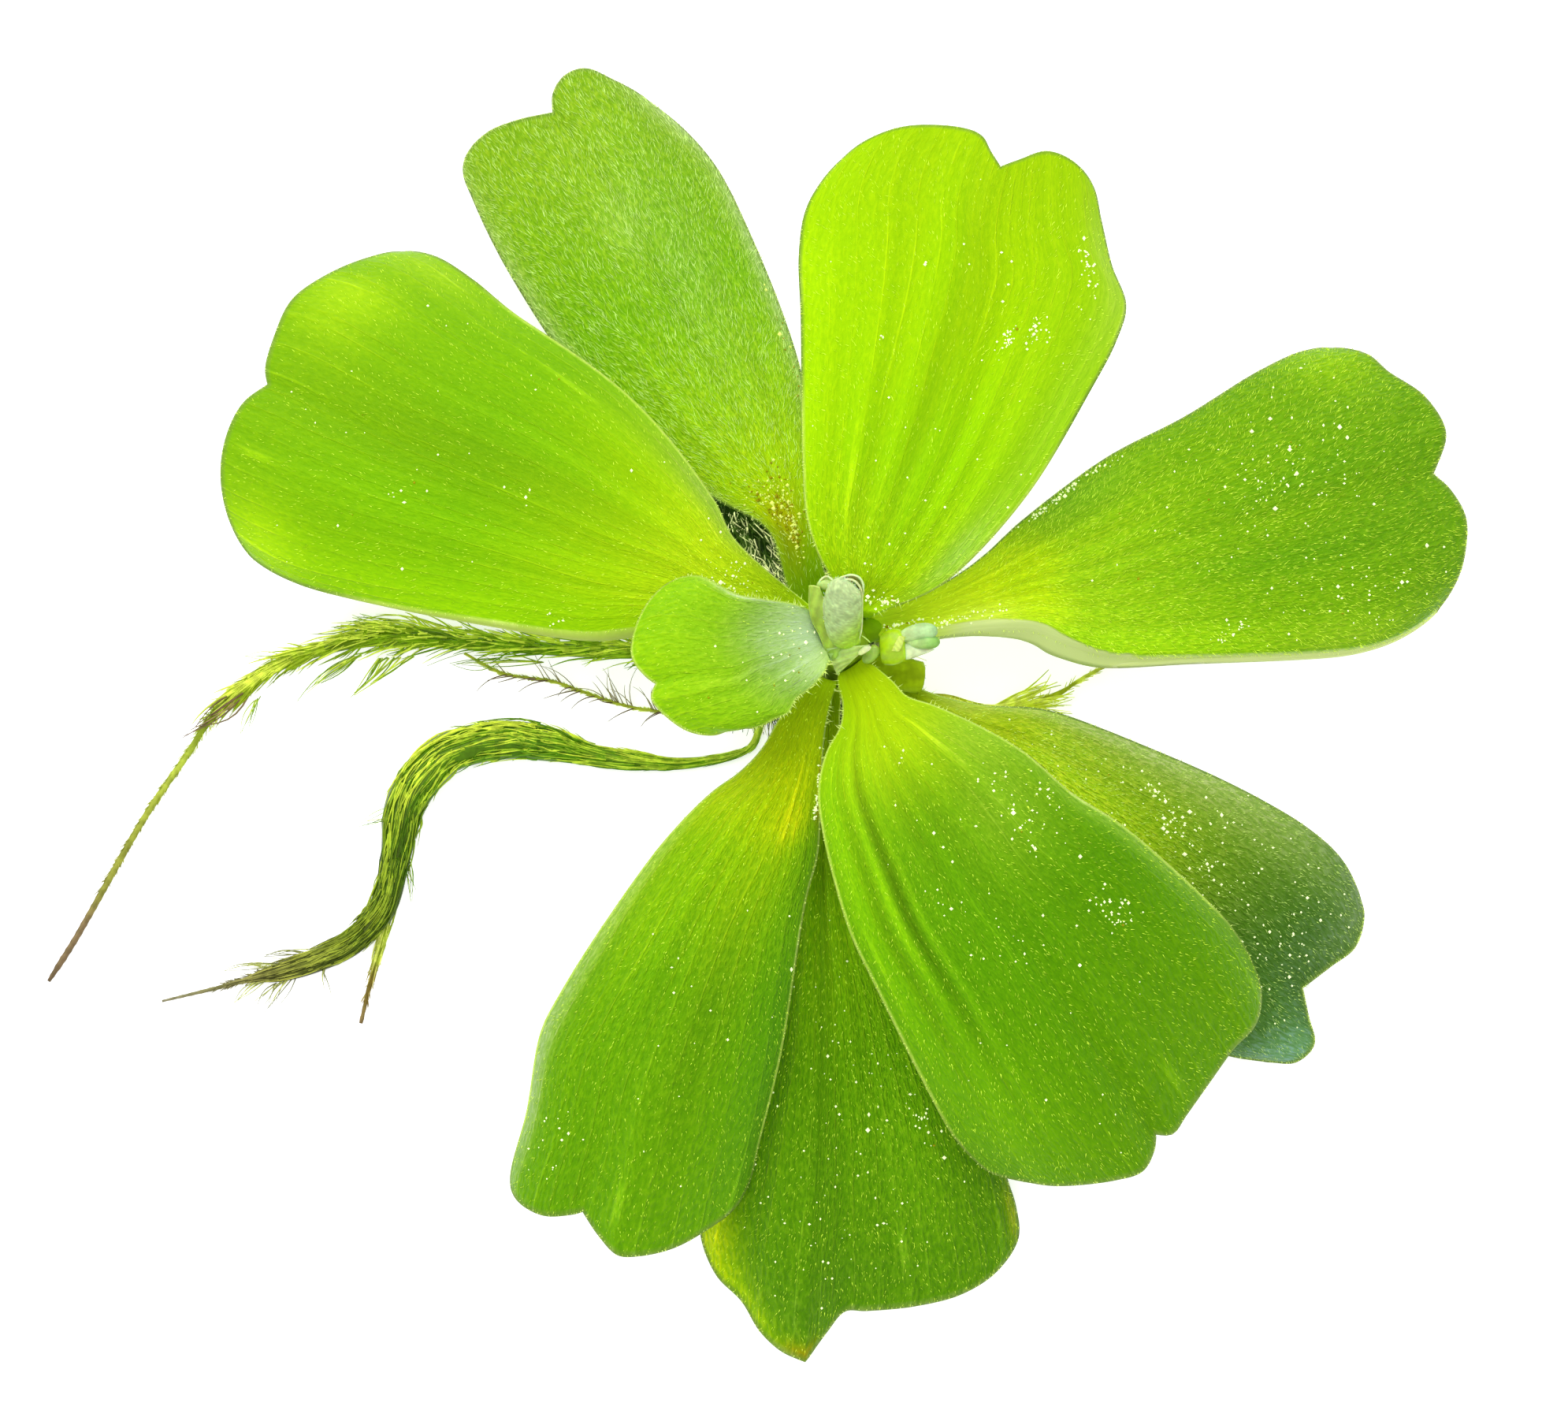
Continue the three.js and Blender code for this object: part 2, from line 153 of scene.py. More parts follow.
def smooth_curve(points, count, before=None, after=None):
    """Curve through points, as count places evenly spaced along it.

    The knots are spaced by the square root of the distance between points. Each stretch is a blend of
    blends: three straight blends of neighbours, two blends of those, and one of those.
    A point before or after the curve, if given, only steers the direction at that end.
    """
    p = np.asarray(points, float)
    first = 2 * p[0] - p[1] if before is None else np.asarray(before, float)
    last = 2 * p[-1] - p[-2] if after is None else np.asarray(after, float)
    p = np.vstack([first, p, last])
    gaps = np.sqrt(np.linalg.norm(np.diff(p, axis=0), axis=1))
    knots = np.concatenate([[0.0], np.cumsum(gaps)])
    t = np.linspace(knots[1], knots[-2], CURVE_STEPS * len(p))
    k = np.clip(np.searchsorted(knots, t, side="right") - 1, 1, len(p) - 3)

    def blend(a, b, start, end):
        share = ((t - start) / (end - start))[:, None]
        return a * (1 - share) + b * share

    t0, t1, t2, t3 = knots[k - 1], knots[k], knots[k + 1], knots[k + 2]
    a1 = blend(p[k - 1], p[k], t0, t1)
    a2 = blend(p[k], p[k + 1], t1, t2)
    a3 = blend(p[k + 1], p[k + 2], t2, t3)
    curve = blend(blend(a1, a2, t0, t2), blend(a2, a3, t1, t3), t1, t2)
    return spaced(curve, count)


def spaced(curve, count):
    """The same polyline at count places an equal length apart."""
    length = np.concatenate([[0.0], np.cumsum(np.linalg.norm(np.diff(curve, axis=0), axis=1))])
    wanted = np.linspace(0, length[-1], count)
    return np.stack([np.interp(wanted, length, curve[:, axis]) for axis in range(curve.shape[1])], axis=1)


def length_of(points):
    """Length of a polyline."""
    return np.linalg.norm(np.diff(points, axis=0), axis=1).sum()


def handle_curve(values, t):
    """Curve of four values, a start, two handles and an end: each weighs in by its share at t."""
    a, b, c, d = values
    return a * (1 - t) ** 3 + 3 * b * t * (1 - t) ** 2 + 3 * c * t ** 2 * (1 - t) + d * t ** 3


def unit(vectors):
    """Vectors scaled to length 1."""
    return vectors / np.maximum(np.linalg.norm(vectors, axis=-1, keepdims=True), 1e-9)


# %% [markdown]
# A piece is a mesh with a colour at every point. The colour attribute is called coat: it holds what
# changes slowly over a leaf or a root, while the fine grain comes from the material's textures.

# %% Making a piece
ALBEDO = 0.72


def linear(colours):
    """Colours as full light shows them on the screen, turned into the surface's own linear values.

    255 stands for a surface that looks white while it sends back only a share of the light, ALBEDO.
    Pale parts in deep shade may go above 255.
    """
    c = np.asarray(colours, float) / 255.0
    return np.minimum(ALBEDO * np.where(c <= 0.04045, c / 12.92, ((c + 0.055) / 1.055) ** 2.4), 0.98)


def add_piece(name, points, faces, material, coat, uv=None, slot=None, replaces=(), **shares):
    """Mesh from points in mm and arrays of faces, with its colours, that rides on the plant.

    Each of the shares is one more number per point, from 0 to 1, for the material to read by its name.
    """
    mesh = bpy.data.meshes.new(name)
    corner_lists = [corners for array in faces for corners in array.tolist()]
    mesh.from_pydata((points * MM).tolist(), [], corner_lists)
    mesh.polygons.foreach_set("use_smooth", np.ones(len(mesh.polygons), bool))
    colours = np.ones((len(points), 4))
    colours[:, :3] = linear(coat)
    mesh.color_attributes.new("coat", "FLOAT_COLOR", "POINT").data.foreach_set("color", colours.ravel())
    if uv is not None:
        corners = np.empty(len(mesh.loops), int)
        mesh.loops.foreach_get("vertex_index", corners)
        mesh.uv_layers.new(name="surface").uv.foreach_set("vector", uv[corners].astype(np.float32).ravel())
    for share, values in shares.items():
        mesh.attributes.new(share, "FLOAT", "POINT").data.foreach_set("value", values.astype(np.float32))
    mesh.materials.append(material)
    mesh.update()
    piece = bpy.data.objects.new(name, mesh)
    bpy.context.scene.collection.objects.link(piece)
    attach(piece, "root")
    if replaces:
        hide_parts(*replaces)
    return piece


def mixed(a, b, share):
    """Colours from a to b by share, which has one value per colour."""
    share = share[..., None]
    return np.array(a, float) * (1 - share) + np.array(b, float) * share


def grid_faces(rows, columns, start=0, flip=False, wrap=False):
    """Four-cornered faces of a grid of points stored row by row.

    Wrap joins its last column to its first.
    """
    corner = start + np.arange(rows * columns).reshape(rows, columns)
    if wrap:
        corner = np.concatenate([corner, corner[:, :1]], axis=1)
    a, b, c, d = corner[:-1, :-1], corner[:-1, 1:], corner[1:, 1:], corner[1:, :-1]
    order = (a, d, c, b) if flip else (a, b, c, d)
    return np.stack([array.ravel() for array in order], axis=1)


def capped_faces(rings, sides):
    """Faces of a closed tube of rings: its walls, and one face over each end."""
    index = np.arange(rings * sides).reshape(rings, sides)
    return [grid_faces(rings, sides, wrap=True), index[:1, ::-1], index[-1:]]


def joined(parts):
    """One mesh from several (points, faces, colours)."""
    points, faces, colours, start = [], [], [], 0
    for part_points, part_faces, part_colours in parts:
        points.append(part_points)
        faces += [face + start for face in part_faces]
        colours.append(part_colours)
        start += len(part_points)
    return np.concatenate(points), faces, np.concatenate(colours)


SLOTS = {entry["node"]: entry["material_slot"] for entry in frame["record"]["subparts"]}


def add_part(name, parts, material):
    """One piece from several (points, faces, colours), which stands for the solid of the same name."""
    points, faces, colours = joined(parts)
    add_piece(name, points, faces, material, colours, slot=SLOTS[name], replaces=(name,))
    print(f"{name}: {len(points)} points, top at {points[:, 2].max():.1f} mm")


# %% [markdown]
# Materials are node trees that share a few steps, so a small helper adds a node, sets it and links it.

# %% Material helpers
def start_material(name):
    """A material with its shader, and a function that adds a node, sets its values and its inputs."""
    material = bpy.data.materials.new(name)
    material.use_nodes = True
    tree = material.node_tree
    shader = tree.nodes["Principled BSDF"]

    def add(kind, values=None, **settings):
        node = tree.nodes.new(kind)
        for key, value in settings.items():
            setattr(node, key, value)
        for key, value in (values or {}).items():
            if isinstance(value, bpy.types.NodeSocket):
                tree.links.new(value, node.inputs[key])
            else:
                node.inputs[key].default_value = value
        return node

    return material, shader, tree, add


def maths(add, operation, a, b=0.0, clamp=False):
    """One arithmetic node."""
    return add("ShaderNodeMath", {0: a, 1: b}, operation=operation, use_clamp=clamp).outputs[0]


def ramp(add, value, low, high, to_low=0.0, to_high=1.0):
    """Value from low to high turned into to_low to to_high, smoothly and no further."""
    values = {"Value": value, "From Min": low, "From Max": high, "To Min": to_low, "To Max": to_high}
    return add("ShaderNodeMapRange", values, interpolation_type="SMOOTHSTEP").outputs["Result"]


def mix_colour(add, share, a, b, blend="MIX"):
    """Two colours mixed by share."""
    node = add("ShaderNodeMix", data_type="RGBA", blend_type=blend)
    links = node.id_data.links
    for key, value in ((0, share), (6, a), (7, b)):
        if isinstance(value, bpy.types.NodeSocket):
            links.new(value, node.inputs[key])
        else:
            node.inputs[key].default_value = value
    return node.outputs[2]


# %% [markdown]
# A water lettuce leaf is covered with short pale hairs that run with its veins. The colour of the blade
# comes from coat. Over it lie broad streaks, thin pale veins with darker furrows between them, the
# furrows' dark a painted shade, and dashes that stand for the hairs too small to model: light ones, pale
# hair with a painted highlight, with dark lines of painted shade between. Two shares at every point, velvet
# and veined, say how much of the dashes and of the veins shows there. The surface map gives how far a point
# lies across and along the leaf, in mm, so all of these fan out with the blade.

# %% Leaf material
VEIN_SPACING = 1.7
VEIN_WANDER = 2.6
STREAK_SCALE, WANDER_SCALE, PATCH_SCALE = (0.9, 0.03), (0.5, 0.02), (0.35, 0.16)
STROKE_SCALE, PEBBLE_SCALE = (4.2, 1.35), (5.0, 4.0)
STREAK_DARK, STREAK_LIGHT = (0.93, 0.95, 0.90, 1), (1.02, 1.01, 1.02, 1)
# painted shade in the furrows and in the lines between the dashes, and a painted highlight on the dashes
VEIN_LIGHT, FURROW_SHADE = (1.55, 1.34, 2.8, 1), (0.82, 0.9, 0.8, 1)
DASH_PALE_HIGHLIGHT, LINE_SHADE = (1.38, 1.18, 2.0, 1), (0.80, 0.88, 0.74, 1)
GLOSS_TINT = (0.75, 1.0, 0.08, 1)
SHEEN_TINT = (0.8, 1.0, 0.4, 1)
RELIEF_DEPTH = 0.16
SCATTER_DEPTH = 0.6


def leaf_material(name, roughness=0.5, grain=1.0):
    """Velvety blade: coat times streaks, then veins with painted shade in the furrows, light dashes of pale
    hair with a painted highlight, dark lines of painted shade between them, and grain.

    velvet says how much of the dashes shows, and veined how much of the veins: 0 on a smooth margin.
    grain is the strength of the relief. The scales are in turns to the mm, across and along the leaf.
    """
    material, shader, tree, add = start_material(name)
    coat = add("ShaderNodeAttribute", attribute_name="coat").outputs["Color"]
    velvet = add("ShaderNodeAttribute", attribute_name="velvet").outputs["Fac"]
    veined = add("ShaderNodeAttribute", attribute_name="veined").outputs["Fac"]
    surface = add("ShaderNodeUVMap", uv_map="surface").outputs["UV"]

    def stretched(scale, detail=3.0):
        scaled = add("ShaderNodeMapping", {"Vector": surface, "Scale": (*scale, 1.0)}).outputs[0]
        values = {"Vector": scaled, "Scale": 1.0, "Detail": detail, "Roughness": 0.6}
        return add("ShaderNodeTexNoise", values, noise_dimensions="2D").outputs["Fac"]

    def times(a, b):
        return maths(add, "MULTIPLY", a, b)

    streak = ramp(add, stretched(STREAK_SCALE), 0.36, 0.64)
    light = mix_colour(add, streak, STREAK_DARK, STREAK_LIGHT)
    colour = mix_colour(add, 1.0, coat, light, "MULTIPLY")

    split = add("ShaderNodeSeparateXYZ", {"Vector": surface})
    wander = times(stretched(WANDER_SCALE, 1.0), VEIN_WANDER)
    phase = times(maths(add, "ADD", split.outputs["X"], wander), math.pi / VEIN_SPACING)
    wave = maths(add, "ABSOLUTE", maths(add, "SINE", phase))
    vein = ramp(add, wave, 0.05, 0.22, 1.0, 0.0)
    patchy = ramp(add, stretched(PATCH_SCALE), 0.38, 0.6)
    vein = times(times(vein, patchy), veined)
    colour = mix_colour(add, times(vein, 0.9), colour, VEIN_LIGHT, "MULTIPLY")
    # painted shade: the furrows between the veins are darkened
    furrow = times(ramp(add, wave, 0.6, 1.0), veined)
    colour = mix_colour(add, times(furrow, 0.35), colour, FURROW_SHADE, "MULTIPLY")

    strokes = stretched(STROKE_SCALE, 1.0)
    # the dashes are pale hair with a painted highlight, the lines between them painted shade
    dashes = times(ramp(add, strokes, 0.52, 0.66), velvet)
    colour = mix_colour(add, dashes, colour, DASH_PALE_HIGHLIGHT, "MULTIPLY")
    lines = times(ramp(add, strokes, 0.34, 0.46, 1.0, 0.0), velvet)
    colour = mix_colour(add, lines, colour, LINE_SHADE, "MULTIPLY")

    pebbles = stretched(PEBBLE_SCALE, 2.0)
    height = maths(add, "ADD", times(strokes, 1.6), times(pebbles, 0.6))
    height = maths(add, "ADD", times(height, velvet), times(vein, 0.4))
    height = maths(add, "ADD", height, times(wave, times(veined, -0.5)))
    bump = add("ShaderNodeBump", {"Height": height, "Strength": 0.8 * grain, "Distance": RELIEF_DEPTH * MM})

    tree.links.new(colour, shader.inputs["Base Color"])
    tree.links.new(bump.outputs["Normal"], shader.inputs["Normal"])
    rough = ramp(add, pebbles, 0.3, 0.7, roughness - 0.08, roughness + 0.1)
    tree.links.new(rough, shader.inputs["Roughness"])
    set_sockets(shader, {
        "Specular IOR Level": 0.22, "Specular Tint": GLOSS_TINT,
        "Sheen Weight": 0.03, "Sheen Roughness": 0.4, "Sheen Tint": SHEEN_TINT,
        "Subsurface Weight": 0.1, "Subsurface Radius": (0.7, 1.0, 0.1),
        "Subsurface Scale": SCATTER_DEPTH * MM})
    return material


blade_material = leaf_material("leaf_blade")
young_material = leaf_material("young_leaf_blade", roughness=0.42, grain=1.5)
print("leaf materials:", blade_material.name, young_material.name)

# %% [markdown]
# Hairs and rootlets are too fine for textures of their own: each one takes its colour from coat, with a
# little noise along it, and glows a little in that colour, a painted glow in place of the light that comes
# through it.

# %% Hair and root materials
FIBRE_RELIEF = 0.1
MEMBRANE_SCATTER = 0.8
WHITE_TINT = (1.0, 1.0, 0.9, 1)
ROOT_TINT = (0.9, 1.0, 0.3, 1)


def fibre_material(name, roughness, gloss, tint, noise_scale, variation, glow=0.0):
    """Fine fibres: coat times a noise from 1 - variation to 1 + variation. Glow is a painted glow in the
    same colour, in place of the light that comes through a fibre.
    """
    material, shader, tree, add = start_material(name)
    coat = add("ShaderNodeAttribute", attribute_name="coat").outputs["Color"]
    place = add("ShaderNodeTexCoord").outputs["Object"]
    noise = add("ShaderNodeTexNoise", {"Vector": place, "Scale": noise_scale, "Detail": 3.0}).outputs["Fac"]
    light = ramp(add, noise, 0.35, 0.65, 1.0 - variation, 1.0 + variation)
    colour = add("ShaderNodeVectorMath", {0: coat, "Scale": light}, operation="SCALE").outputs[0]
    tree.links.new(colour, shader.inputs["Base Color"])
    # painted glow: the fibre gives off light of its own colour
    tree.links.new(colour, shader.inputs["Emission Color"])
    bump = add("ShaderNodeBump", {"Height": noise, "Strength": 0.4, "Distance": FIBRE_RELIEF * MM})
    tree.links.new(bump.outputs["Normal"], shader.inputs["Normal"])
    set_sockets(shader, {"Emission Strength": glow, "Roughness": roughness, "Specular IOR Level": gloss,
                         "Specular Tint": tint})
    return material


hair_material = fibre_material("leaf_hair", 0.5, 0.3, GLOSS_TINT, 900.0, 0.12, glow=0.38)
root_material = fibre_material("root_fibre", 0.3, 0.35, ROOT_TINT, 1400.0, 0.2, glow=0.45)
tangle_material = fibre_material("tangle_fibre", 0.4, 0.15, WHITE_TINT, 1100.0, 0.4, glow=0.7)
stem_material = fibre_material("crown_flesh", 0.45, 0.2, GLOSS_TINT, 700.0, 0.2)
membrane_material = fibre_material("sheath_membrane", 0.35, 0.45, WHITE_TINT, 1600.0, 0.14)
set_sockets(membrane_material.node_tree.nodes["Principled BSDF"],
            {"Subsurface Weight": 0.3, "Subsurface Scale": MEMBRANE_SCATTER * MM})
print("materials:", [material.name for material in bpy.data.materials])

# %% [markdown]
# The leaves, by the dimensions that the solids were made with, in mm.
#
# - heading: which way the leaf points, in degrees; stalk: where it starts
# - left, left_lobe, right_lobe, right: its four margins, as points along and across the leaf
# - notch: where the notch between the two lobes lies, as a column out of NOTCH_COLUMNS
# - thick: its thickness at the stalk and over the blade
# - spine: the heights of its midrib; edge: how far the margins stand above it; roll: how far it leans to
#   one side; each is given at the stalk, at two handles and at the tip

# %% Leaf dimensions
NOTCH_COLUMNS = 12

LEAVES = {
    "leaf_upper_left": dict(
        heading=115, stalk=(-1.5, 3), notch=6, thick=(2.6, 1.0), spine=(6.0, 8.5, 8.5, 4.0),
        edge=(0.6, -0.6, -2.2, -1.6), roll=(0, 0, 0, 0),
        left=[(-0.1, 1.2), (3.0, 1.6), (8.2, 1.1), (12.1, 3.7), (17.3, 6.9), (23.5, 9.0), (36.9, 10.8),
              (44.3, 10.8), (46.9, 10.5)],
        left_lobe=[(46.9, 10.5), (47.9, 9.6), (48.6, 7.5), (48.4, 5.0), (47.7, 2.0)],
        right_lobe=[(47.7, 2.0), (49.2, 1.3), (50.2, -0.2), (50.1, -1.9), (48.5, -3.5), (45.6, -5.7)],
        right=[(0.1, -1.4), (3.5, -1.5), (9.7, -3.4), (18.4, -6.6), (31.1, -8.0), (38.9, -7.9),
               (45.6, -5.7)]),
    "leaf_left": dict(
        heading=162, stalk=(-2.5, 2), notch=6, thick=(2.6, 1.0), spine=(8.6, 13.0, 15.5, 9.0),
        edge=(0.6, -0.4, -2.4, -2.0), roll=(0, 0, 0, 0),
        left=[(-0.4, 1.2), (4.0, 2.0), (8.8, 3.4), (13.3, 5.4), (16.2, 6.7), (22.3, 8.0), (35.0, 9.5),
              (40.5, 9.4), (44.5, 8.2)],
        left_lobe=[(44.5, 8.2), (46.8, 6.2), (48.5, 3.2), (49.1, 0.1), (48.7, -2.9), (47.3, -5.0)],
        right_lobe=[(47.3, -5.0), (47.9, -6.2), (48.1, -8.7), (47.8, -12.2), (46.1, -14.9), (43.4, -17.6),
                    (41.0, -19.2)],
        right=[(0.3, -1.0), (5.2, -2.8), (8.1, -4.3), (10.4, -6.6), (19.1, -12.3), (30.5, -16.4),
               (34.5, -18.2), (38.3, -19.4), (41.0, -19.2)]),
    "leaf_upper_right": dict(
        heading=76, stalk=(1.5, 3), notch=6, thick=(2.6, 1.0), spine=(11.0, 16.0, 23.0, 24.0),
        edge=(0.8, 0.5, -2.5, -1.5), roll=(0, 0, 0, 0),
        left=[(-0.6, 1.4), (0.8, 2.4), (2.5, 4.1), (5.0, 5.7), (8.6, 6.9), (19.5, 9.8), (24.1, 11.1),
              (27.4, 11.4), (29.9, 10.7), (31.9, 9.6)],
        left_lobe=[(31.9, 9.6), (33.6, 8.1), (35.3, 5.3), (36.1, 0.8), (35.8, -0.6), (34.8, -1.5),
                   (33.7, -2.6)],
        right_lobe=[(33.7, -2.6), (34.7, -4.0), (35.9, -5.8), (35.8, -7.8), (34.6, -9.8)],
        right=[(-0.6, -1.1), (-0.1, -1.9), (1.9, -5.0), (4.4, -7.2), (11.3, -10.9), (19.5, -13.5),
               (23.4, -14.5), (26.2, -14.6), (28.9, -12.8), (32.0, -11.2), (34.6, -9.8)]),
    "leaf_right": dict(
        heading=14, stalk=(3, 1.5), notch=6, thick=(3.4, 1.0), spine=(8.0, 11.5, 14.0, 8.0),
        edge=(0.6, 0.0, -1.0, -1.6), roll=(0, 1.6, 1.6, 0.5),
        left=[(-0.6, 1.4), (2.4, 1.5), (6.9, 2.6), (9.4, 3.6), (13.1, 5.6), (20.5, 8.8), (27.5, 10.7),
              (34.8, 13.3), (38.7, 14.3), (41.1, 14.2)],
        left_lobe=[(41.1, 14.2), (43.6, 12.8), (44.8, 10.9), (46.9, 8.3), (47.8, 5.7), (47.7, 4.4),
                   (45.9, 1.7)],
        right_lobe=[(45.9, 1.7), (46.9, 0.1), (47.5, -2.3), (47.0, -4.4), (45.8, -6.7), (43.6, -8.8)],
        right=[(-0.6, -0.6), (2.3, -1.5), (7.8, -2.4), (11.7, -3.7), (13.5, -5.2), (16.2, -6.9),
               (22.2, -8.5), (31.5, -10.4), (37.0, -10.9), (40.5, -10.3), (43.6, -8.8)]),
    "leaf_lower_right_back": dict(
        heading=-37, stalk=(2.5, -2), notch=6, thick=(2.6, 1.0), spine=(5.6, 7.0, 9.5, 2.4),
        edge=(0.4, -0.6, -2.2, -1.4), roll=(0, 0, 0, 0),
        left=[(-0.3, 1.3), (2.2, 1.2), (5.5, 2.1), (8.4, 3.5), (12.1, 5.9), (17.0, 7.6), (30.3, 10.9),
              (35.1, 11.5), (38.5, 11.2), (41.5, 9.7)],
        left_lobe=[(41.5, 9.7), (42.5, 8.5), (43.2, 6.2), (42.6, 3.9), (41.8, 1.0)],
        right_lobe=[(41.8, 1.0), (43.6, -0.6), (45.2, -2.0), (44.9, -3.9), (43.1, -5.1)],
        right=[(-0.4, -0.7), (3.0, -0.9), (7.7, -1.8), (13.5, -3.4), (23.0, -5.7), (32.0, -7.3),
               (39.1, -7.2), (43.1, -5.1)]),
    "leaf_lower_right_front": dict(
        heading=-56, stalk=(1.5, -2.5), notch=5, thick=(2.8, 1.0), spine=(10.0, 18.0, 20.0, 9.0),
        edge=(0.6, 0.0, -3.0, -2.0), roll=(0, 0, 0, 0),
        left=[(-1.0, 0.7), (0.2, 1.0), (2.2, 1.35), (3.8, 1.5), (5.8, 2.8), (9.1, 4.6), (13.0, 6.3),
              (17.7, 7.6), (21.7, 9.4), (30.0, 12.1), (33.1, 12.8), (36.1, 12.8)],
        left_lobe=[(36.1, 12.8), (38.4, 11.9), (40.1, 10.1), (40.7, 7.6), (41.8, 4.6), (43.0, 1.4),
                   (43.6, -0.3), (42.9, -1.4)],
        right_lobe=[(42.9, -1.4), (43.9, -2.3), (44.7, -3.9), (44.1, -6.0), (42.0, -9.8), (40.6, -11.4),
                    (37.9, -13.6)],
        right=[(-1.0, -1.5), (-0.4, -2.0), (1.3, -2.7), (2.9, -4.0), (4.1, -6.1), (6.3, -8.4),
               (9.2, -10.0), (16.8, -12.7), (21.4, -13.4), (30.6, -14.4), (34.6, -14.5), (37.9, -13.6)]),
    "leaf_bottom": dict(
        heading=-92, stalk=(-1, -3), notch=8, thick=(2.0, 1.0), spine=(5.2, 5.6, 9.0, 0.8),
        edge=(0.4, -0.6, -2.0, -0.4), roll=(0, 0, 0, 0),
        left=[(-0.4, 0.7), (5.2, 0.9), (11.5, 2.3), (15.3, 4.0), (20.2, 6.7), (31.2, 12.7), (38.2, 15.3),
              (40.1, 16.0), (42.5, 16.3)],
        left_lobe=[(42.5, 16.3), (45.2, 14.7), (47.1, 12.0), (48.2, 8.3), (48.7, 4.5), (48.8, 2.8),
                   (50.5, 1.4), (52.9, -0.2)],
        right_lobe=[(52.9, -0.2), (52.1, -2.1), (50.6, -3.8), (48.3, -5.3), (46.4, -7.3), (44.0, -8.5),
                    (42.2, -8.8)],
        right=[(-0.4, -0.8), (5.2, -0.6), (11.7, -1.9), (20.6, -3.6), (30.0, -6.1), (37.3, -8.0),
               (42.2, -8.8)]),
    "leaf_lower_left": dict(
        heading=-114, stalk=(-2, -2.5), notch=7, thick=(2.6, 1.0), spine=(8.4, 12.0, 15.6, 6.8),
        edge=(0.6, -0.4, -2.6, -2.0), roll=(0, 0, 0, 0),
        left=[(-0.3, 1.5), (0.8, 1.6), (4.1, 2.3), (10.1, 4.6), (13.4, 5.8), (16.9, 6.4), (28.8, 9.5),
              (35.4, 10.6), (38.4, 11.1)],
        left_lobe=[(38.4, 11.1), (40.9, 10.9), (43.4, 9.6), (45.7, 7.9), (47.4, 5.7), (48.0, 4.2),
                   (47.2, 2.2), (46.0, 0.3)],
        right_lobe=[(46.0, 0.3), (46.6, -0.5), (47.5, -2.5), (47.2, -4.8), (46.0, -6.0)],
        right=[(-0.2, -0.4), (4.4, -1.3), (7.3, -1.6), (9.7, -2.4), (12.1, -3.7), (16.2, -5.2),
               (20.1, -6.2), (31.4, -8.1), (34.7, -8.3), (40.6, -6.9), (46.0, -6.0)]),
    "young_leaf": dict(
        heading=-172, stalk=(-1.5, 0.5), notch=6, thick=(1.6, 0.8), spine=(12.6, 16.0, 19.5, 16.0),
        edge=(0.5, 0.2, -1.2, -0.8), roll=(0, 0, 0, 0),
        left=[(0.0, 2.4), (0.5, 3.4), (1.9, 4.9), (3.1, 5.7), (3.9, 6.8), (4.9, 7.1), (6.5, 7.5),
              (8.3, 7.2)],
        left_lobe=[(8.3, 7.2), (9.9, 7.5), (11.7, 7.0), (13.3, 5.6), (14.2, 4.1), (13.7, 3.0)],
        right_lobe=[(13.7, 3.0), (14.4, 2.3), (15.2, 0.9), (15.2, -0.2), (14.4, -2.2), (13.1, -3.9),
                    (11.3, -5.1)],
        right=[(0.3, -0.7), (1.0, -1.5), (2.6, -2.1), (6.2, -2.9), (7.5, -3.7), (8.8, -4.7), (9.6, -5.1),
               (11.3, -5.1)]),
}

# %% [markdown]
# What the eye sees of each leaf. Along a leaf, s runs from 0 at the stalk to 1 at the tip, and across it u
# runs from -1 at the left margin to 1 at the right.
#
# - greens: the colours along the leaf, at the shares in STOPS
# - texture, veins: how strongly the dashes and the veins show; at_stalk: how much of the dashes is left
#   near the stalk, 0.35 if it isn't given
# - light_rim: how far up the leaf its rim is light, a pale margin with painted light; beyond, it is dark, a
#   painted shade
# - flutes: the number and depth of the channels between veins; a fold is one more of them, as (u, width,
#   rise, s, length)
# - hairs: their density, as a share of HAIRS_PER_MM2; hair_length in mm; comb: how far they fan out towards
#   the margins, in degrees; hair: their colour where it isn't HAIR_PALE
# - belly: how far the underside stands out past one margin; skirt: how wide a margin is turned down, both
#   as (s, mm), with the side, -1 or 1
# - patches: soft areas of another green, as (s, u, spread along, spread across, colour, strength); some of
#   them are painted light and shade: whitish margins are pale hairs with a painted sheen, lighter greens
#       make up
#   for the shade of a leaf above, and bands along folds are painted shade and light
# - grains: dirt, as (s, u, spread along, spread across, number); grain: its pale colour where it isn't
#   GRAIN_PALE; brown: the share of it that is brown, 0.03 if it isn't given

# %% Leaf colours
STOPS = (0.05, 0.2, 0.35, 0.6, 0.95)
PALE_BELLY = (216, 232, 150)
OLIVE_BELLY = (176, 200, 84)

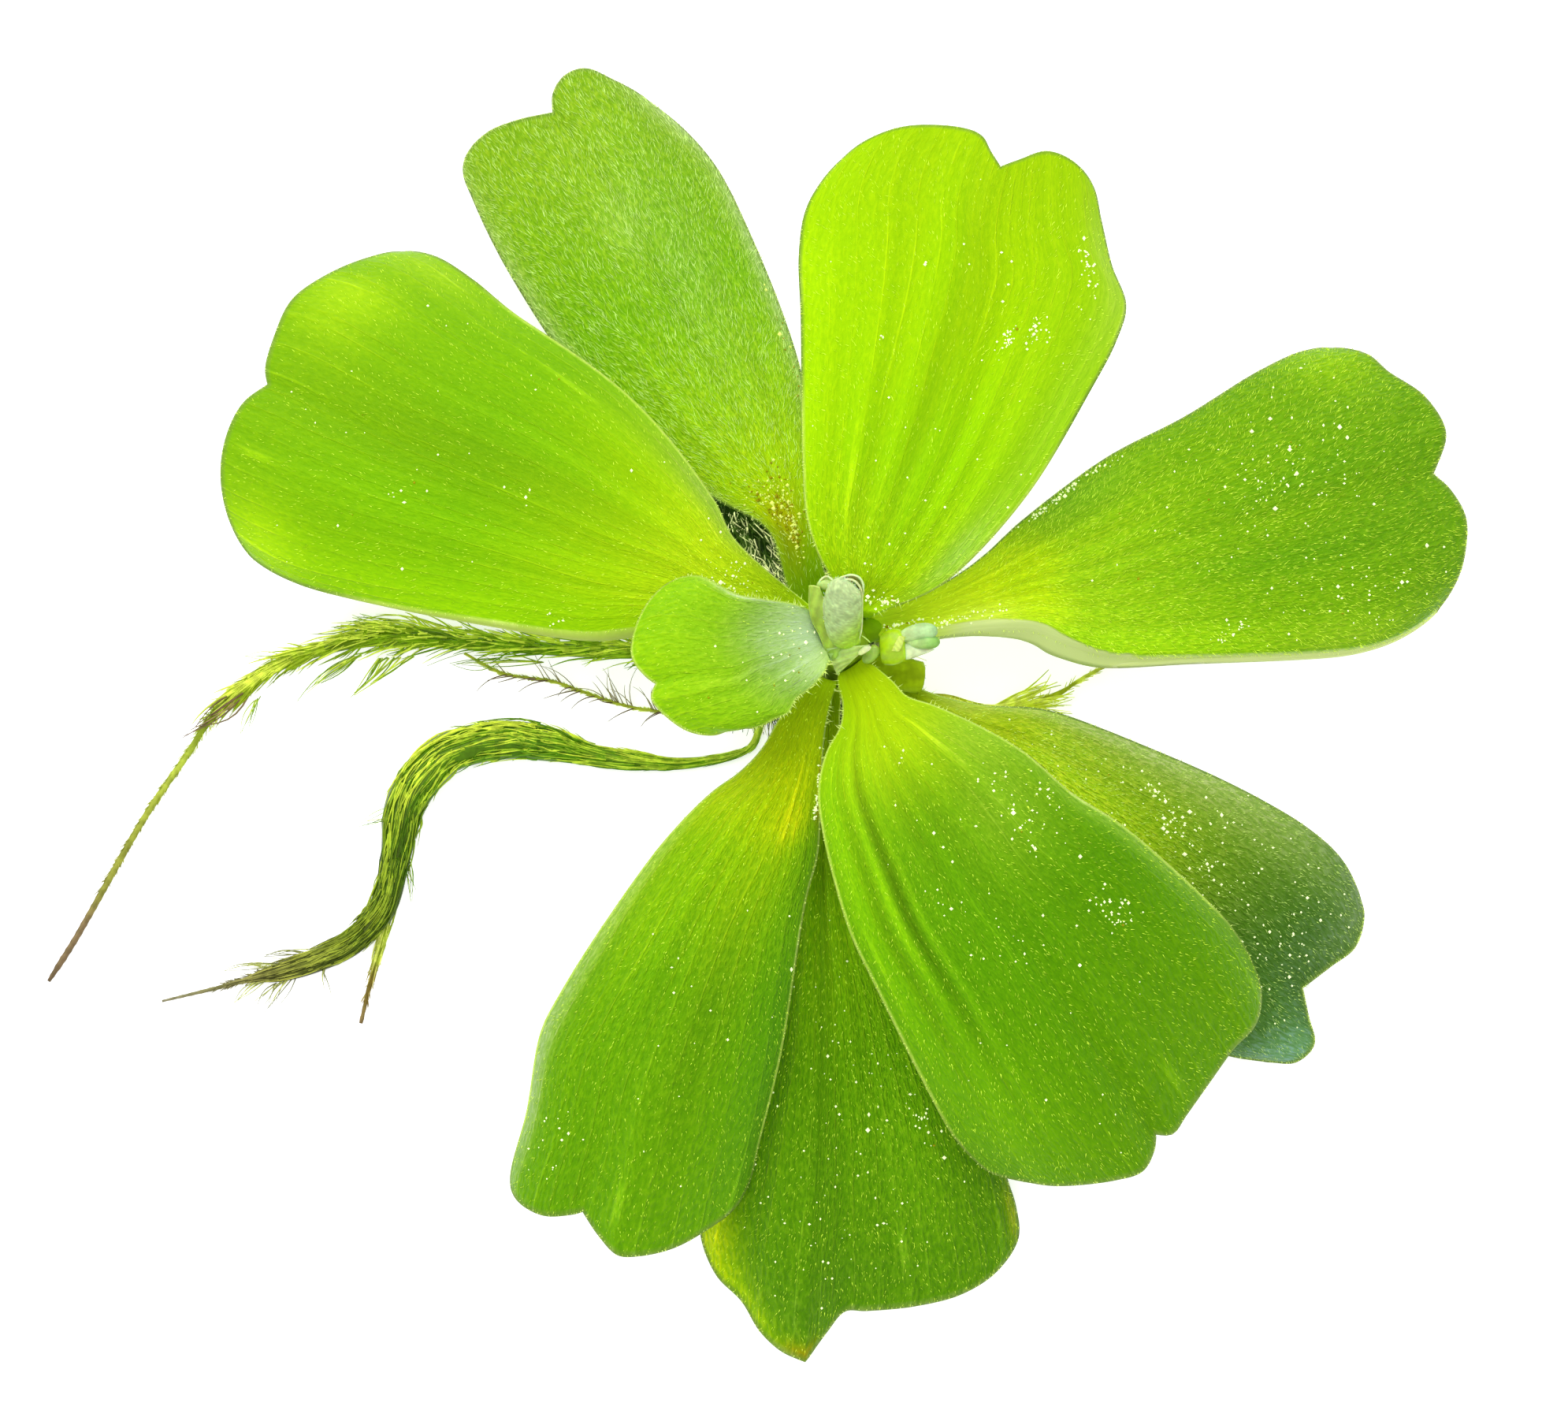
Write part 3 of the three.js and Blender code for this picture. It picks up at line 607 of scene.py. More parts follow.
LOOKS = {
    "leaf_upper_left": dict(
        greens=[(126, 176, 4), (180, 226, 8), (160, 212, 22), (120, 182, 14), (126, 174, 20)],
        texture=0.95, veins=0.12, light_rim=0.0, brown=0.45, grain=(238, 250, 126), hair=(244, 272, 176),
        flutes=(5, 0.03),
        folds=[],
        hairs=1.4, hair_length=0.66, comb=20,
        patches=[(0.25, 0.2, 0.06, 0.7, (186, 232, 14), 0.7),
                 (0.16, -0.2, 0.055, 0.6, (214, 204, 10), 0.8),
                 (0.12, -0.5, 0.05, 0.5, (132, 160, 10), 0.6),
                 # whitish margins: pale hairs with a painted sheen where the margin bends away
                 (0.6, 1.0, 0.4, 0.12, (186, 212, 150), 0.7),
                 (0.93, 0.9, 0.07, 0.2, (165, 194, 120), 0.6),
                 (0.55, -1.0, 0.4, 0.12, (186, 214, 132), 0.75),
                 (0.9, 0.0, 0.08, 0.5, (150, 198, 36), 0.4), (0.76, 0.0, 0.07, 0.22, (160, 206, 72), 0.6),
                 (0.62, 0.35, 0.2, 0.3, (134, 186, 60), 0.5)],
        grains=[(0.2, -0.1, 0.05, 0.45, 200), (0.15, 0.06, 0.02, 0.15, 60), (0.45, 0.94, 0.1, 0.03, 26),
                (0.11, 0.1, 0.02, 0.3, 8)]),
    "leaf_left": dict(
        greens=[(196, 242, 18), (200, 238, 18), (158, 208, 5), (120, 182, 3), (120, 176, 3)],
        texture=0.35, at_stalk=2.2, veins=0.85, light_rim=0.75, flutes=(5, 0.03),
        folds=[(0.1, 0.3, -0.1, 0.6, 0.3)],
        hairs=0.3, hair_length=0.3, comb=25,
        belly=([(0.1, 0.5), (0.3, 0.7), (0.6, 0.4), (0.9, 0.0)], -1, OLIVE_BELLY),
        patches=[(0.93, -0.85, 0.08, 0.25, (176, 224, 6), 0.85),
                 (0.93, 0.5, 0.08, 0.25, (166, 212, 12), 0.8),
                 (0.65, -0.92, 0.35, 0.22, (150, 212, 4), 0.85),
                 (0.9, 0.92, 0.12, 0.14, (160, 205, 34), 0.6),
                 (0.28, 0.98, 0.16, 0.2, (150, 190, 80), 0.75),
                 (0.55, 0.95, 0.2, 0.2, (118, 176, 16), 0.5), (0.55, 0.3, 0.2, 0.2, (124, 196, 8), 0.4),
                 (0.7, -0.3, 0.2, 0.2, (122, 194, 4), 0.4)],
        grains=[(0.15, 0.1, 0.03, 0.5, 44), (0.6, -0.2, 0.35, 0.8, 46), (0.71, -0.33, 0.01, 0.03, 4),
                (0.44, -0.9, 0.012, 0.05, 7)]),
    "leaf_upper_right": dict(
        greens=[(190, 242, 12), (162, 214, 8), (150, 210, 3), (160, 214, 2), (158, 205, 3)],
        texture=0.3, at_stalk=3.0, veins=0.7, light_rim=0.42, flutes=(6, 0.05),
        folds=[(-0.1, 0.15, -0.1, 0.6, 0.3), (0.42, 0.18, 0.06, 0.5, 0.3)],
        hairs=0.35, hair_length=0.34, comb=62,
        patches=[(0.5, -0.9, 0.5, 0.3, (174, 230, 3), 0.9), (0.45, 0.9, 0.4, 0.22, (154, 210, 30), 0.9),
                 (0.82, 0.93, 0.14, 0.14, (166, 207, 68), 0.8), (0.35, 0.1, 0.2, 0.3, (150, 216, 4), 0.6),
                 (0.7, -0.25, 0.25, 0.12, (164, 222, 3), 0.7), (0.07, 0.1, 0.04, 0.6, (158, 200, 6), 0.6),
                 (0.2, 0.85, 0.1, 0.2, (164, 214, 84), 0.7), (0.62, 0.5, 0.25, 0.15, (156, 206, 12), 0.5)],
        grains=[(0.63, 0.27, 0.02, 0.04, 30), (0.65, 0.46, 0.025, 0.07, 26), (0.77, 0.72, 0.05, 0.06, 32),
                (0.57, -0.52, 0.006, 0.01, 3), (0.4, 0.1, 0.4, 0.7, 60), (0.04, 0.3, 0.02, 0.3, 14),
                (0.05, 0.75, 0.02, 0.2, 30)]),
    "leaf_right": dict(
        # painted light: the stalk's greens go above 255 where the leaf above shades it
        greens=[(244, 280, 50), (228, 264, 16), (156, 208, 16), (118, 174, 8), (100, 156, 10)],
        texture=0.85, veins=0.35, light_rim=0.0, flutes=(7, 0.03),
        folds=[(0.25, 0.12, -0.08, 0.75, 0.2), (-0.25, 0.12, -0.08, 0.75, 0.2)],
        hairs=0.95, hair_length=0.46, comb=38,
        belly=([(0.12, 0.1), (0.25, 0.6), (0.3, 0.95), (0.4, 0.8), (0.55, 0.45), (0.8, 0.3), (0.95, 0.1)],
               1, PALE_BELLY),
        skirt=([(0.0, 0.3), (0.1, 0.9), (0.2, 1.0), (0.3, 0.8), (0.4, 0.3), (0.5, 0.0)], 1),
        patches=[(0.17, 0.6, 0.09, 0.5, (222, 250, 90), 0.7), (0.27, 0.0, 0.05, 0.9, (192, 234, 8), 0.85),
                 # painted light, where the leaf above shades the left margin
                 (0.22, -0.85, 0.09, 0.35, (240, 276, 30), 0.9),
                 (0.42, -0.85, 0.14, 0.26, (140, 202, 36), 0.8),
                 (0.45, 0.9, 0.25, 0.22, (162, 220, 16), 0.85),
                 (0.93, -0.85, 0.07, 0.25, (140, 192, 8), 0.8),
                 (0.8, 0.9, 0.12, 0.18, (142, 192, 26), 0.8),
                 (0.72, 0.25, 0.18, 0.12, (98, 168, 10), 0.6),
                 (0.76, -0.28, 0.16, 0.1, (102, 170, 12), 0.6),
                 # painted light over the stalk, in the shade of the leaf above
                 (0.09, -0.4, 0.06, 0.8, (255, 288, 40), 0.6)],
        grains=[(0.42, -0.95, 0.07, 0.025, 60), (0.34, -0.94, 0.02, 0.04, 14),
                (0.6, 0.75, 0.02, 0.05, 16), (0.58, 0.86, 0.01, 0.03, 6), (0.06, 0.02, 0.035, 0.1, 30),
                (0.12, 0.45, 0.05, 0.12, 70), (0.02, 0.15, 0.01, 0.1, 6), (0.75, -0.4, 0.12, 0.4, 110),
                (0.8, 0.6, 0.12, 0.25, 50), (0.7, 0.1, 0.2, 0.5, 40)]),
    "leaf_lower_right_back": dict(
        greens=[(194, 228, 8), (188, 220, 22), (170, 208, 36), (124, 166, 20), (52, 98, 34)],
        texture=1.1, veins=0.2, light_rim=0.2, hair=(228, 256, 140), flutes=(6, 0.03),
        folds=[],
        hairs=0.8, hair_length=0.36, comb=30,
        # painted light, where the leaf above shades this one
        patches=[(0.4, 0.0, 0.24, 0.3, (206, 250, 26), 0.8),
                 # whitish margin: pale hairs with a painted sheen where the margin bends away
                 (0.5, -0.95, 0.35, 0.12, (182, 208, 122), 0.8),
                 (0.7, -0.8, 0.3, 0.22, (142, 172, 80), 0.6),
                 (0.97, 0.7, 0.08, 0.4, (124, 178, 128), 0.9), (0.9, 0.3, 0.06, 0.3, (66, 116, 34), 0.7),
                 (0.27, -0.45, 0.05, 0.3, (168, 200, 20), 0.7),
                 (0.97, -0.6, 0.05, 0.6, (110, 142, 78), 0.6),
                 (0.16, -0.85, 0.06, 0.3, (206, 232, 84), 0.8)],
        grains=[(0.55, -0.62, 0.02, 0.05, 18), (0.61, -0.45, 0.03, 0.1, 30),
                (0.73, -0.33, 0.12, 0.35, 90), (0.92, -0.1, 0.05, 0.5, 50), (0.4, -0.6, 0.12, 0.25, 20)]),
    "leaf_lower_right_front": dict(
        greens=[(180, 216, 3), (168, 208, 5), (108, 162, 4), (82, 144, 2), (90, 148, 2)],
        texture=0.6, veins=0.9, light_rim=0.85, flutes=(6, 0.035),
        folds=[(0.72, 0.06, -0.14, 0.5, 0.25), (0.6, 0.05, 0.12, 0.46, 0.25),
               (0.5, 0.05, -0.14, 0.44, 0.25), (0.41, 0.05, 0.1, 0.5, 0.25),
               (0.5, 0.12, -0.12, 0.33, 0.2), (0.8, 0.16, 0.1, 0.4, 0.35)],
        hairs=0.45, hair_length=0.34, comb=30,
        # bands along the folds: painted shade in the furrows and painted light on the ridges
        patches=[(0.5, 0.72, 0.22, 0.05, (92, 150, 3), 0.75), (0.46, 0.6, 0.2, 0.045, (142, 200, 8), 0.8),
                 (0.44, 0.5, 0.2, 0.04, (92, 152, 3), 0.8), (0.5, 0.41, 0.2, 0.04, (126, 188, 8), 0.7),
                 (0.4, 0.33, 0.16, 0.04, (90, 150, 3), 0.6), (0.32, 0.85, 0.22, 0.2, (136, 194, 3), 0.9),
                 (0.62, 0.88, 0.3, 0.2, (112, 178, 3), 0.9), (0.85, 0.6, 0.16, 0.4, (112, 178, 3), 0.7),
                 (0.58, 0.1, 0.25, 0.35, (90, 158, 3), 0.7),
                 (0.28, -0.85, 0.12, 0.28, (152, 197, 46), 0.75),
                 (0.42, -0.6, 0.1, 0.3, (134, 182, 40), 0.5),
                 (0.6, -0.96, 0.3, 0.06, (140, 186, 60), 0.6), (0.2, 0.45, 0.1, 0.2, (166, 214, 6), 0.8),
                 (0.34, 0.45, 0.1, 0.14, (124, 188, 4), 0.6)],
        grains=[(0.69, -0.6, 0.03, 0.06, 40), (0.45, -0.62, 0.08, 0.14, 40),
                (0.45, -0.85, 0.03, 0.04, 12), (0.55, 0.0, 0.3, 0.6, 60)]),
    "leaf_bottom": dict(
        greens=[(196, 232, 10), (174, 220, 14), (162, 226, 12), (99, 160, 5), (84, 142, 5)],
        texture=1.1, veins=1.5, light_rim=0.8, flutes=(7, 0.035),
        folds=[(0.3, 0.12, -0.08, 0.7, 0.3)],
        hairs=0.45, hair_length=0.28, comb=25,
        patches=[(1.0, 0.6, 0.05, 0.24, (168, 212, 0), 0.85),
                 # a yellowed margin, painted lighter still as a painted light where the leaf above shades
                 # it
                 (0.96, 0.88, 0.08, 0.16, (222, 252, 0), 0.95),
                 (1.0, 0.33, 0.018, 0.08, (226, 158, 0), 0.95),
                 (0.95, -0.97, 0.05, 0.06, (190, 200, 20), 0.7), (0.7, 0.3, 0.3, 0.12, (88, 152, 6), 0.6),
                 (0.6, -0.45, 0.25, 0.2, (122, 190, 10), 0.6), (0.95, 0.3, 0.04, 0.4, (84, 140, 18), 0.6)],
        grains=[(0.75, 0.0, 0.2, 0.7, 130), (0.72, -0.5, 0.03, 0.08, 18)]),
    "leaf_lower_left": dict(
        greens=[(196, 236, 8), (194, 224, 4), (138, 188, 4), (100, 160, 4), (100, 162, 5)],
        texture=0.75, at_stalk=0.9, veins=1.5, light_rim=0.9, flutes=(6, 0.03),
        folds=[(-0.3, 0.15, -0.08, 0.6, 0.3), (0.3, 0.2, 0.06, 0.5, 0.3)],
        hairs=0.35, hair_length=0.28, comb=25,
        patches=[(0.68, -0.9, 0.3, 0.28, (82, 150, 8), 0.85),
                 (0.4, -0.9, 0.15, 0.22, (106, 166, 10), 0.7),
                 # whitish margin: pale hairs with a painted sheen where the margin bends away
                 (0.5, 0.95, 0.25, 0.12, (166, 202, 84), 0.85),
                 (0.82, 0.94, 0.2, 0.12, (160, 192, 120), 0.85),
                 (0.24, 0.6, 0.08, 0.5, (196, 228, 20), 0.8), (0.45, 0.55, 0.2, 0.25, (130, 186, 5), 0.6),
                 (0.27, -0.5, 0.04, 0.25, (206, 222, 6), 0.8),
                 (0.23, -0.97, 0.05, 0.06, (176, 122, 50), 0.85)],
        grains=[(0.23, -0.9, 0.05, 0.03, 36), (0.88, 0.6, 0.05, 0.12, 16), (0.6, -0.2, 0.2, 0.6, 18)]),
    "young_leaf": dict(
        greens=[(206, 242, 132), (174, 211, 116), (144, 188, 78), (137, 193, 22), (142, 200, 8)],
        texture=0.5, veins=0.5, light_rim=1.0, flutes=(4, 0.02),
        folds=[],
        hairs=0.2, hair_length=0.25, comb=0,
        # whitish foot and margin: pale hairs with a painted sheen where the surface turns away
        patches=[(0.1, 0.3, 0.14, 0.9, (198, 228, 182), 0.8),
                 (0.5, 1.0, 0.25, 0.05, (224, 238, 204), 0.9), (0.3, 0.2, 0.1, 0.5, (174, 210, 132), 0.5)],
        grains=[(0.2, 0.0, 0.15, 0.7, 24), (0.7, 0.0, 0.2, 0.6, 6)]),
}

# %% [markdown]
# A leaf is a patch stretched between its four margins: rows run across the leaf and columns run with its
# veins from the stalk to the tip. The upper face takes its height from the midrib, the margins and the
# lean, then from the channels between the veins and a light ripple of the rim. The lower face lies under
# it by the leaf's thickness, thick and ribbed at the stalk. A rounded rim joins the two, so the leaf is
# one closed skin.

# %% Leaf shape
ROWS = 120
COLUMNS = 97
RIM = 0.25
STALK_POWER = 3
MARGIN_POWER = 3
TIP_POWER = 12
MARGIN_BEND = 0.35
RIPPLE = 0.1
RIBS = 9
RIB_DEPTH = 0.3
SKIRT_DROP = 0.8


def leaf_plan(leaf):
    """Place of every grid point in the leaf's own frame, seen from above.

    The patch is the blend across from the left to the right margin, plus the blend along from the
    stalk's end to the two lobes, less the blend of the four corners that both of them hold.
    """
    left = smooth_curve(leaf["left"], ROWS, after=leaf["left_lobe"][1])
    right = smooth_curve(leaf["right"], ROWS, after=leaf["right_lobe"][-2])
    notch = round((COLUMNS - 1) * leaf["notch"] / NOTCH_COLUMNS)
    tip = np.vstack([smooth_curve(leaf["left_lobe"], notch + 1, before=leaf["left"][-2])[:-1],
                     smooth_curve(leaf["right_lobe"], COLUMNS - notch, after=leaf["right"][-2])])
    s = np.linspace(0, 1, ROWS)[:, None, None]
    v = np.linspace(0, 1, COLUMNS)[None, :, None]
    across = (1 - v) * left[:, None] + v * right[:, None]
    stalk_end = (1 - v) * left[0] + v * right[0]
    shoulders = (1 - v) * left[-1] + v * right[-1]
    return across + (1 - s) * stalk_end + s * tip[None] - ((1 - s) * stalk_end + s * shoulders)


def blot(s, u, place):
    """Soft spot: falls off as the square of the distance from its middle."""
    along, across, long, wide = place
    return np.exp(-((s - along) / long) ** 2 - ((u - across) / wide) ** 2)


def channels(look, s, u):
    """Channels between the veins: an uneven cosine across, deepest a third of the way up, and the folds."""
    count, depth = look["flutes"]
    wave = np.cos(np.pi * count * u + 1.3 * np.sin(2.1 * u) + 0.8 * s)
    height = depth * wave * np.exp(-((s - 0.32) / 0.3) ** 2) * (1 - u ** 4)
    for across, wide, rise, along, long in look["folds"]:
        height = height + rise * blot(s, u, (along, across, long, wide)) * (1 - u ** 6)
    return height


def belly(look, s, u):
    """How far the underside bulges out past the rim, in mm, on its side of the leaf."""
    if "belly" not in look:
        return 0 * s
    stations, side, _ = look["belly"]
    return np.interp(s, *np.transpose(stations)) * np.clip(side * u, 0, 1) ** 3


def skirt(look, plan, s, u):
    """Share of the way down a turned margin: 0 where it starts, 1 at the rim, and 0 on the blade."""
    if "skirt" not in look:
        return 0 * s
    stations, side = look["skirt"]
    wide = np.maximum(np.interp(s, *np.transpose(stations)), 0.01)
    rim = plan[:, -1 if side > 0 else 0]
    gap = np.linalg.norm(plan - rim[:, None], axis=-1)
    return np.clip(1 - gap / wide, 0, 1) * (side * u > 0)


def leaf_faces(leaf, look):
    """Upper and lower face as arrays of places in the plant's frame, with s, u and skirt of every point."""
    plan = leaf_plan(leaf)
    s = np.repeat(np.linspace(0, 1, ROWS)[:, None], COLUMNS, axis=1)
    u = np.repeat(np.linspace(-1, 1, COLUMNS)[None, :], ROWS, axis=0)
    turned = skirt(look, plan, s, u)
    spine, edge, roll = [handle_curve(leaf[key], s) for key in ("spine", "edge", "roll")]
    height = spine + edge * u ** 2 + roll * u
    height += channels(look, s, u) - MARGIN_BEND * np.abs(u) ** 10 * s ** 0.5 - SKIRT_DROP * turned ** 1.2
    height += RIPPLE * np.sin(23 * s + 2 * leaf["heading"] + 2 * u) * np.abs(u) ** 5
    stalk, blade = leaf["thick"]
    body = blade + (stalk - blade) * (1 - s) ** STALK_POWER
    taper = np.sqrt(1 - np.abs(u) ** MARGIN_POWER) * np.sqrt(1 - s ** TIP_POWER)
    ribs = RIB_DEPTH * (0.5 + 0.5 * np.cos(np.pi * RIBS * u)) * (1 - s) ** 0.7 * taper
    out = belly(look, s, u)
    thickness = RIM + (body - RIM) * taper + ribs + 0.7 * out
    turn = math.radians(leaf["heading"])
    x = leaf["stalk"][0] + plan[..., 0] * math.cos(turn) - plan[..., 1] * math.sin(turn)
    y = leaf["stalk"][1] + plan[..., 0] * math.sin(turn) + plan[..., 1] * math.cos(turn)
    upper = np.stack([x, y, height], axis=-1)
    lower = np.stack([x, y, np.maximum(height - thickness, 0.02)], axis=-1)
    aside = unit(np.gradient(lower[..., :2], axis=1)) * np.sign(u)[..., None]
    lower[..., :2] += out[..., None] * aside
    return upper, lower, s, u, turned


def border(grid):
    """The grid's outer points in one closed loop, counterclockwise from above."""
    return np.concatenate([grid[0, :-1], grid[:-1, -1], grid[-1, :0:-1], grid[:0:-1, 0]])


def outwards(loop):
    """Level direction away from the leaf at every point of its border."""
    ahead = np.roll(loop, -1, axis=0) - np.roll(loop, 1, axis=0)
    return unit(np.stack([ahead[:, 1], -ahead[:, 0], np.zeros(len(loop))], axis=1))


# %% [markdown]
# The colour of every point is worked out from the greens along the leaf and its patches, then ridges
# painted lighter and channels painted darker, a painted light and shade, and a thin line along the rim:
# light, a pale margin with painted light, up a share of the leaf, and dark beyond it, a painted shade. The
# lower face is paler.

# %% Leaf coat
PALE_UNDERSIDE = (168, 200, 104)
# the rim: a pale margin with painted light, and a painted shade where it is dark
PALE_RIM_PAINTED_LIGHT = (196, 228, 92)
RIM_PAINTED_SHADE = (118, 152, 56)
RIM_STRENGTH = 0.8
# painted light on the ridges and painted shade in the channels, by their height
PAINTED_RIDGE_LIGHT_CHANNEL_SHADE = 0.9
UNDERSIDE_SHARE = 0.6


def rim_colour(look, s):
    """Colour of the rim: the stalk's own at its foot, light for a share of the leaf, a pale margin with
    painted light, and dark beyond, a painted shade.
    """
    rim = mixed(PALE_RIM_PAINTED_LIGHT, RIM_PAINTED_SHADE, np.clip((s - look["light_rim"]) / 0.1, 0, 1))
    return mixed(look["greens"][0], rim, np.clip(s / 0.06, 0, 1))


def leaf_coat(look, s, u, turned):
    """Colours of the upper face: the greens along the leaf, then its patches, painted light on its ridges
    and painted shade in its channels, its turned margin and rim.
    """
    greens = np.array(look["greens"], float)
    coat = np.stack([np.interp(s, STOPS, greens[:, channel]) for channel in range(3)], axis=-1)
    for *place, colour, strength in look["patches"]:
        coat = mixed(coat, colour, strength * blot(s, u, place))
    # painted light on the ridges, painted shade in the channels
    coat = coat * (1 + PAINTED_RIDGE_LIGHT_CHANNEL_SHADE * channels(look, s, u))[..., None]
    rim = np.clip((np.abs(u) - 0.985) / 0.012, 0, 1) + np.clip((s - 0.992) / 0.007, 0, 1)
    coat = mixed(coat, rim_colour(look, s), rim.clip(0, RIM_STRENGTH))
    return mixed(coat, PALE_BELLY, np.clip(turned * 7, 0, 1) * np.clip((s - 0.03) / 0.12, 0.2, 1))


def build_leaf(name, leaf, look, material, slot):
    """The closed skin of one leaf."""
    upper, lower, s, u, turned = leaf_faces(leaf, look)
    points = ROWS * COLUMNS
    index = np.arange(points).reshape(ROWS, COLUMNS)
    top_edge, low_edge = border(upper), border(lower)
    edge = (top_edge + low_edge) / 2 + 0.45 * RIM * outwards(top_edge)
    top_loop, low_loop = border(index), points + border(index)
    edge_loop = 2 * points + np.arange(len(edge))

    def band(a, b):
        return np.stack([a, b, np.roll(b, -1), np.roll(a, -1)], axis=1)

    faces = [grid_faces(ROWS, COLUMNS), grid_faces(ROWS, COLUMNS, points, flip=True),
             band(top_loop, edge_loop), band(edge_loop, low_loop)]
    coat = leaf_coat(look, s, u, turned).reshape(-1, 3)
    below = mixed(coat, PALE_UNDERSIDE, UNDERSIDE_SHARE * np.clip(s / 0.1, 0, 1).ravel())
    belly_colour = look["belly"][2] if "belly" in look else RIM_PAINTED_SHADE
    bulge = np.clip((belly(look, s, u) + turned) / 0.25, 0, 1)
    below = mixed(below, belly_colour, bulge.ravel())
    edge_bulge = border(bulge) * np.clip(border(s) / 0.08, 0, 1)
    edge_coat = mixed(rim_colour(look, border(s)), belly_colour, edge_bulge)
    width = np.linalg.norm(upper[:, -1] - upper[:, 0], axis=1).max()
    length = length_of(upper[:, COLUMNS // 2])
    uv = np.stack([(u + 1) / 2 * width, s * length], axis=-1)
    uv_all = np.concatenate([uv.reshape(-1, 2), uv.reshape(-1, 2), border(uv)])
    at_stalk = look.get("at_stalk", 0.35)
    smooth_stalk = np.clip(s / 0.05, 0, 1) * (at_stalk + (1 - at_stalk) * np.clip((s - 0.1) / 0.25, 0, 1))
    top_velvet = np.clip(1 - 8 * turned, 0, 1) * smooth_stalk
    low_velvet = 0.3 * (1 - bulge.ravel()) * np.clip(s / 0.1, 0, 1).ravel()
    velvet = np.concatenate([look["texture"] * top_velvet.ravel(), low_velvet, np.zeros(len(edge))])
    veined = look["veins"] * np.clip((s - 0.08) / 0.15, 0, 1) * np.clip(1 - 8 * turned, 0, 1)
    veined = np.concatenate([veined.ravel(), veined.ravel(), np.zeros(len(edge))])
    add_piece(name, np.concatenate([upper.reshape(-1, 3), lower.reshape(-1, 3), edge]), faces, material,
              np.concatenate([coat, below, edge_coat]), uv_all, slot, (name,), velvet=velvet, veined=veined)
    print(f"{name}: {length:.1f} mm long, {width:.1f} mm wide, top at {upper[..., 2].max():.1f} mm")
    return upper, coat.reshape(ROWS, COLUMNS, 3), top_velvet


# %% [markdown]
# Each leaf is built in turn. Its upper face, its colours and its velvet are kept, because the hairs grow
# from them.

# %% Build the leaves
skins = {}
for name, leaf in LEAVES.items():
    material = young_material if name == "young_leaf" else blade_material
    skins[name] = build_leaf(name, leaf, LOOKS[name], material, SLOTS[name])

# %% [markdown]
# Hairs. Each one is a closed spike of four small triangles, set on a random spot of the upper face and
# laid along the veins, some of them standing up. Spots are drawn by area, so that a narrow stalk has as
# many to the square millimetre as the broad blade. A second row stands out from the rim, which is what
# makes the outline soft. Grains of dirt lie between the hairs, most of them in clusters.

# %% Shapes of hairs and grains
def spikes(roots, tips, normals, widths):
    """Closed three-sided spikes: a triangle round each root, one corner up, joined to its tip."""
    axis = unit(tips - roots)
    side = unit(np.cross(axis, normals))
    other = np.cross(side, axis)
    angle = np.pi / 2 + np.arange(3) * 2 * np.pi / 3
    ring = side[:, None] * np.cos(angle)[:, None] + other[:, None] * np.sin(angle)[:, None]
    ring = roots[:, None] + widths[:, None, None] * ring
    points = np.concatenate([ring, tips[:, None]], axis=1).reshape(-1, 3)
    pattern = np.array([(0, 1, 2), (0, 3, 1), (1, 3, 2), (2, 3, 0)])
    faces = (np.arange(len(roots))[:, None, None] * 4 + pattern).reshape(-1, 3)
    return points, faces


def grains(centres, sizes):
    """Closed grains: eight-sided, each stretched a little at random."""
    corners = np.array([(1, 0, 0), (0, 1, 0), (-1, 0, 0), (0, -1, 0), (0, 0, 1), (0, 0, -1)], float)
    stretch = rng.uniform(0.7, 1.4, (len(centres), 1, 3))
    points = (centres[:, None] + sizes[:, None, None] * corners * stretch).reshape(-1, 3)
    around = [(i, (i + 1) % 4) for i in range(4)]
    pattern = np.array([(a, b, 4) for a, b in around] + [(b, a, 5) for a, b in around])
    return points, (np.arange(len(centres))[:, None, None] * 6 + pattern).reshape(-1, 3)


def random_spots(grid, count):
    """Random places on a grid surface by area: cell numbers and how far into each cell they lie."""
    ahead, aside = grid[1:, :-1] - grid[:-1, :-1], grid[:-1, 1:] - grid[:-1, :-1]
    area = np.linalg.norm(np.cross(ahead, aside), axis=-1)
    total = np.cumsum(area.ravel())
    cell = np.searchsorted(total, rng.random(count) * total[-1])
    row, column = np.divmod(cell, grid.shape[1] - 1)
    return row, column, rng.random(count), rng.random(count), area.sum()


def between(grid, row, column, f, g):
    """Value of the grid at a share f down and g across each cell."""
    f, g = f[:, None], g[:, None]
    return (grid[row, column] * (1 - f) * (1 - g) + grid[row + 1, column] * f * (1 - g)
            + grid[row, column + 1] * (1 - f) * g + grid[row + 1, column + 1] * f * g)


# %% [markdown]
# The hairs are combed along the veins and fan out towards the margins, with a slow drift from place to
# place. Where the velvet is worn off, fewer of them are kept. The rim's hairs are longest near the crown.

# %% Hairs and grains of a leaf
HAIRS_PER_MM2 = 9.0
HAIR_WIDTH = 0.034
HAIR_PALE = (250, 276, 96)
HAIR_DRIFT = 0.35
HAIR_SPREAD = 0.25
HAIR_SINK = 0.015
RIM_HAIR = (226, 250, 130)
RIM_HAIR_SPREAD = 0.45
CROWN_REACH = 16
GRAIN_SIZE = 0.12
GRAIN_PALE = (266, 278, 214)
GRAIN_BROWN = (150, 142, 14)
BROWN_SHARE = 0.03
LOWEST = 0.02


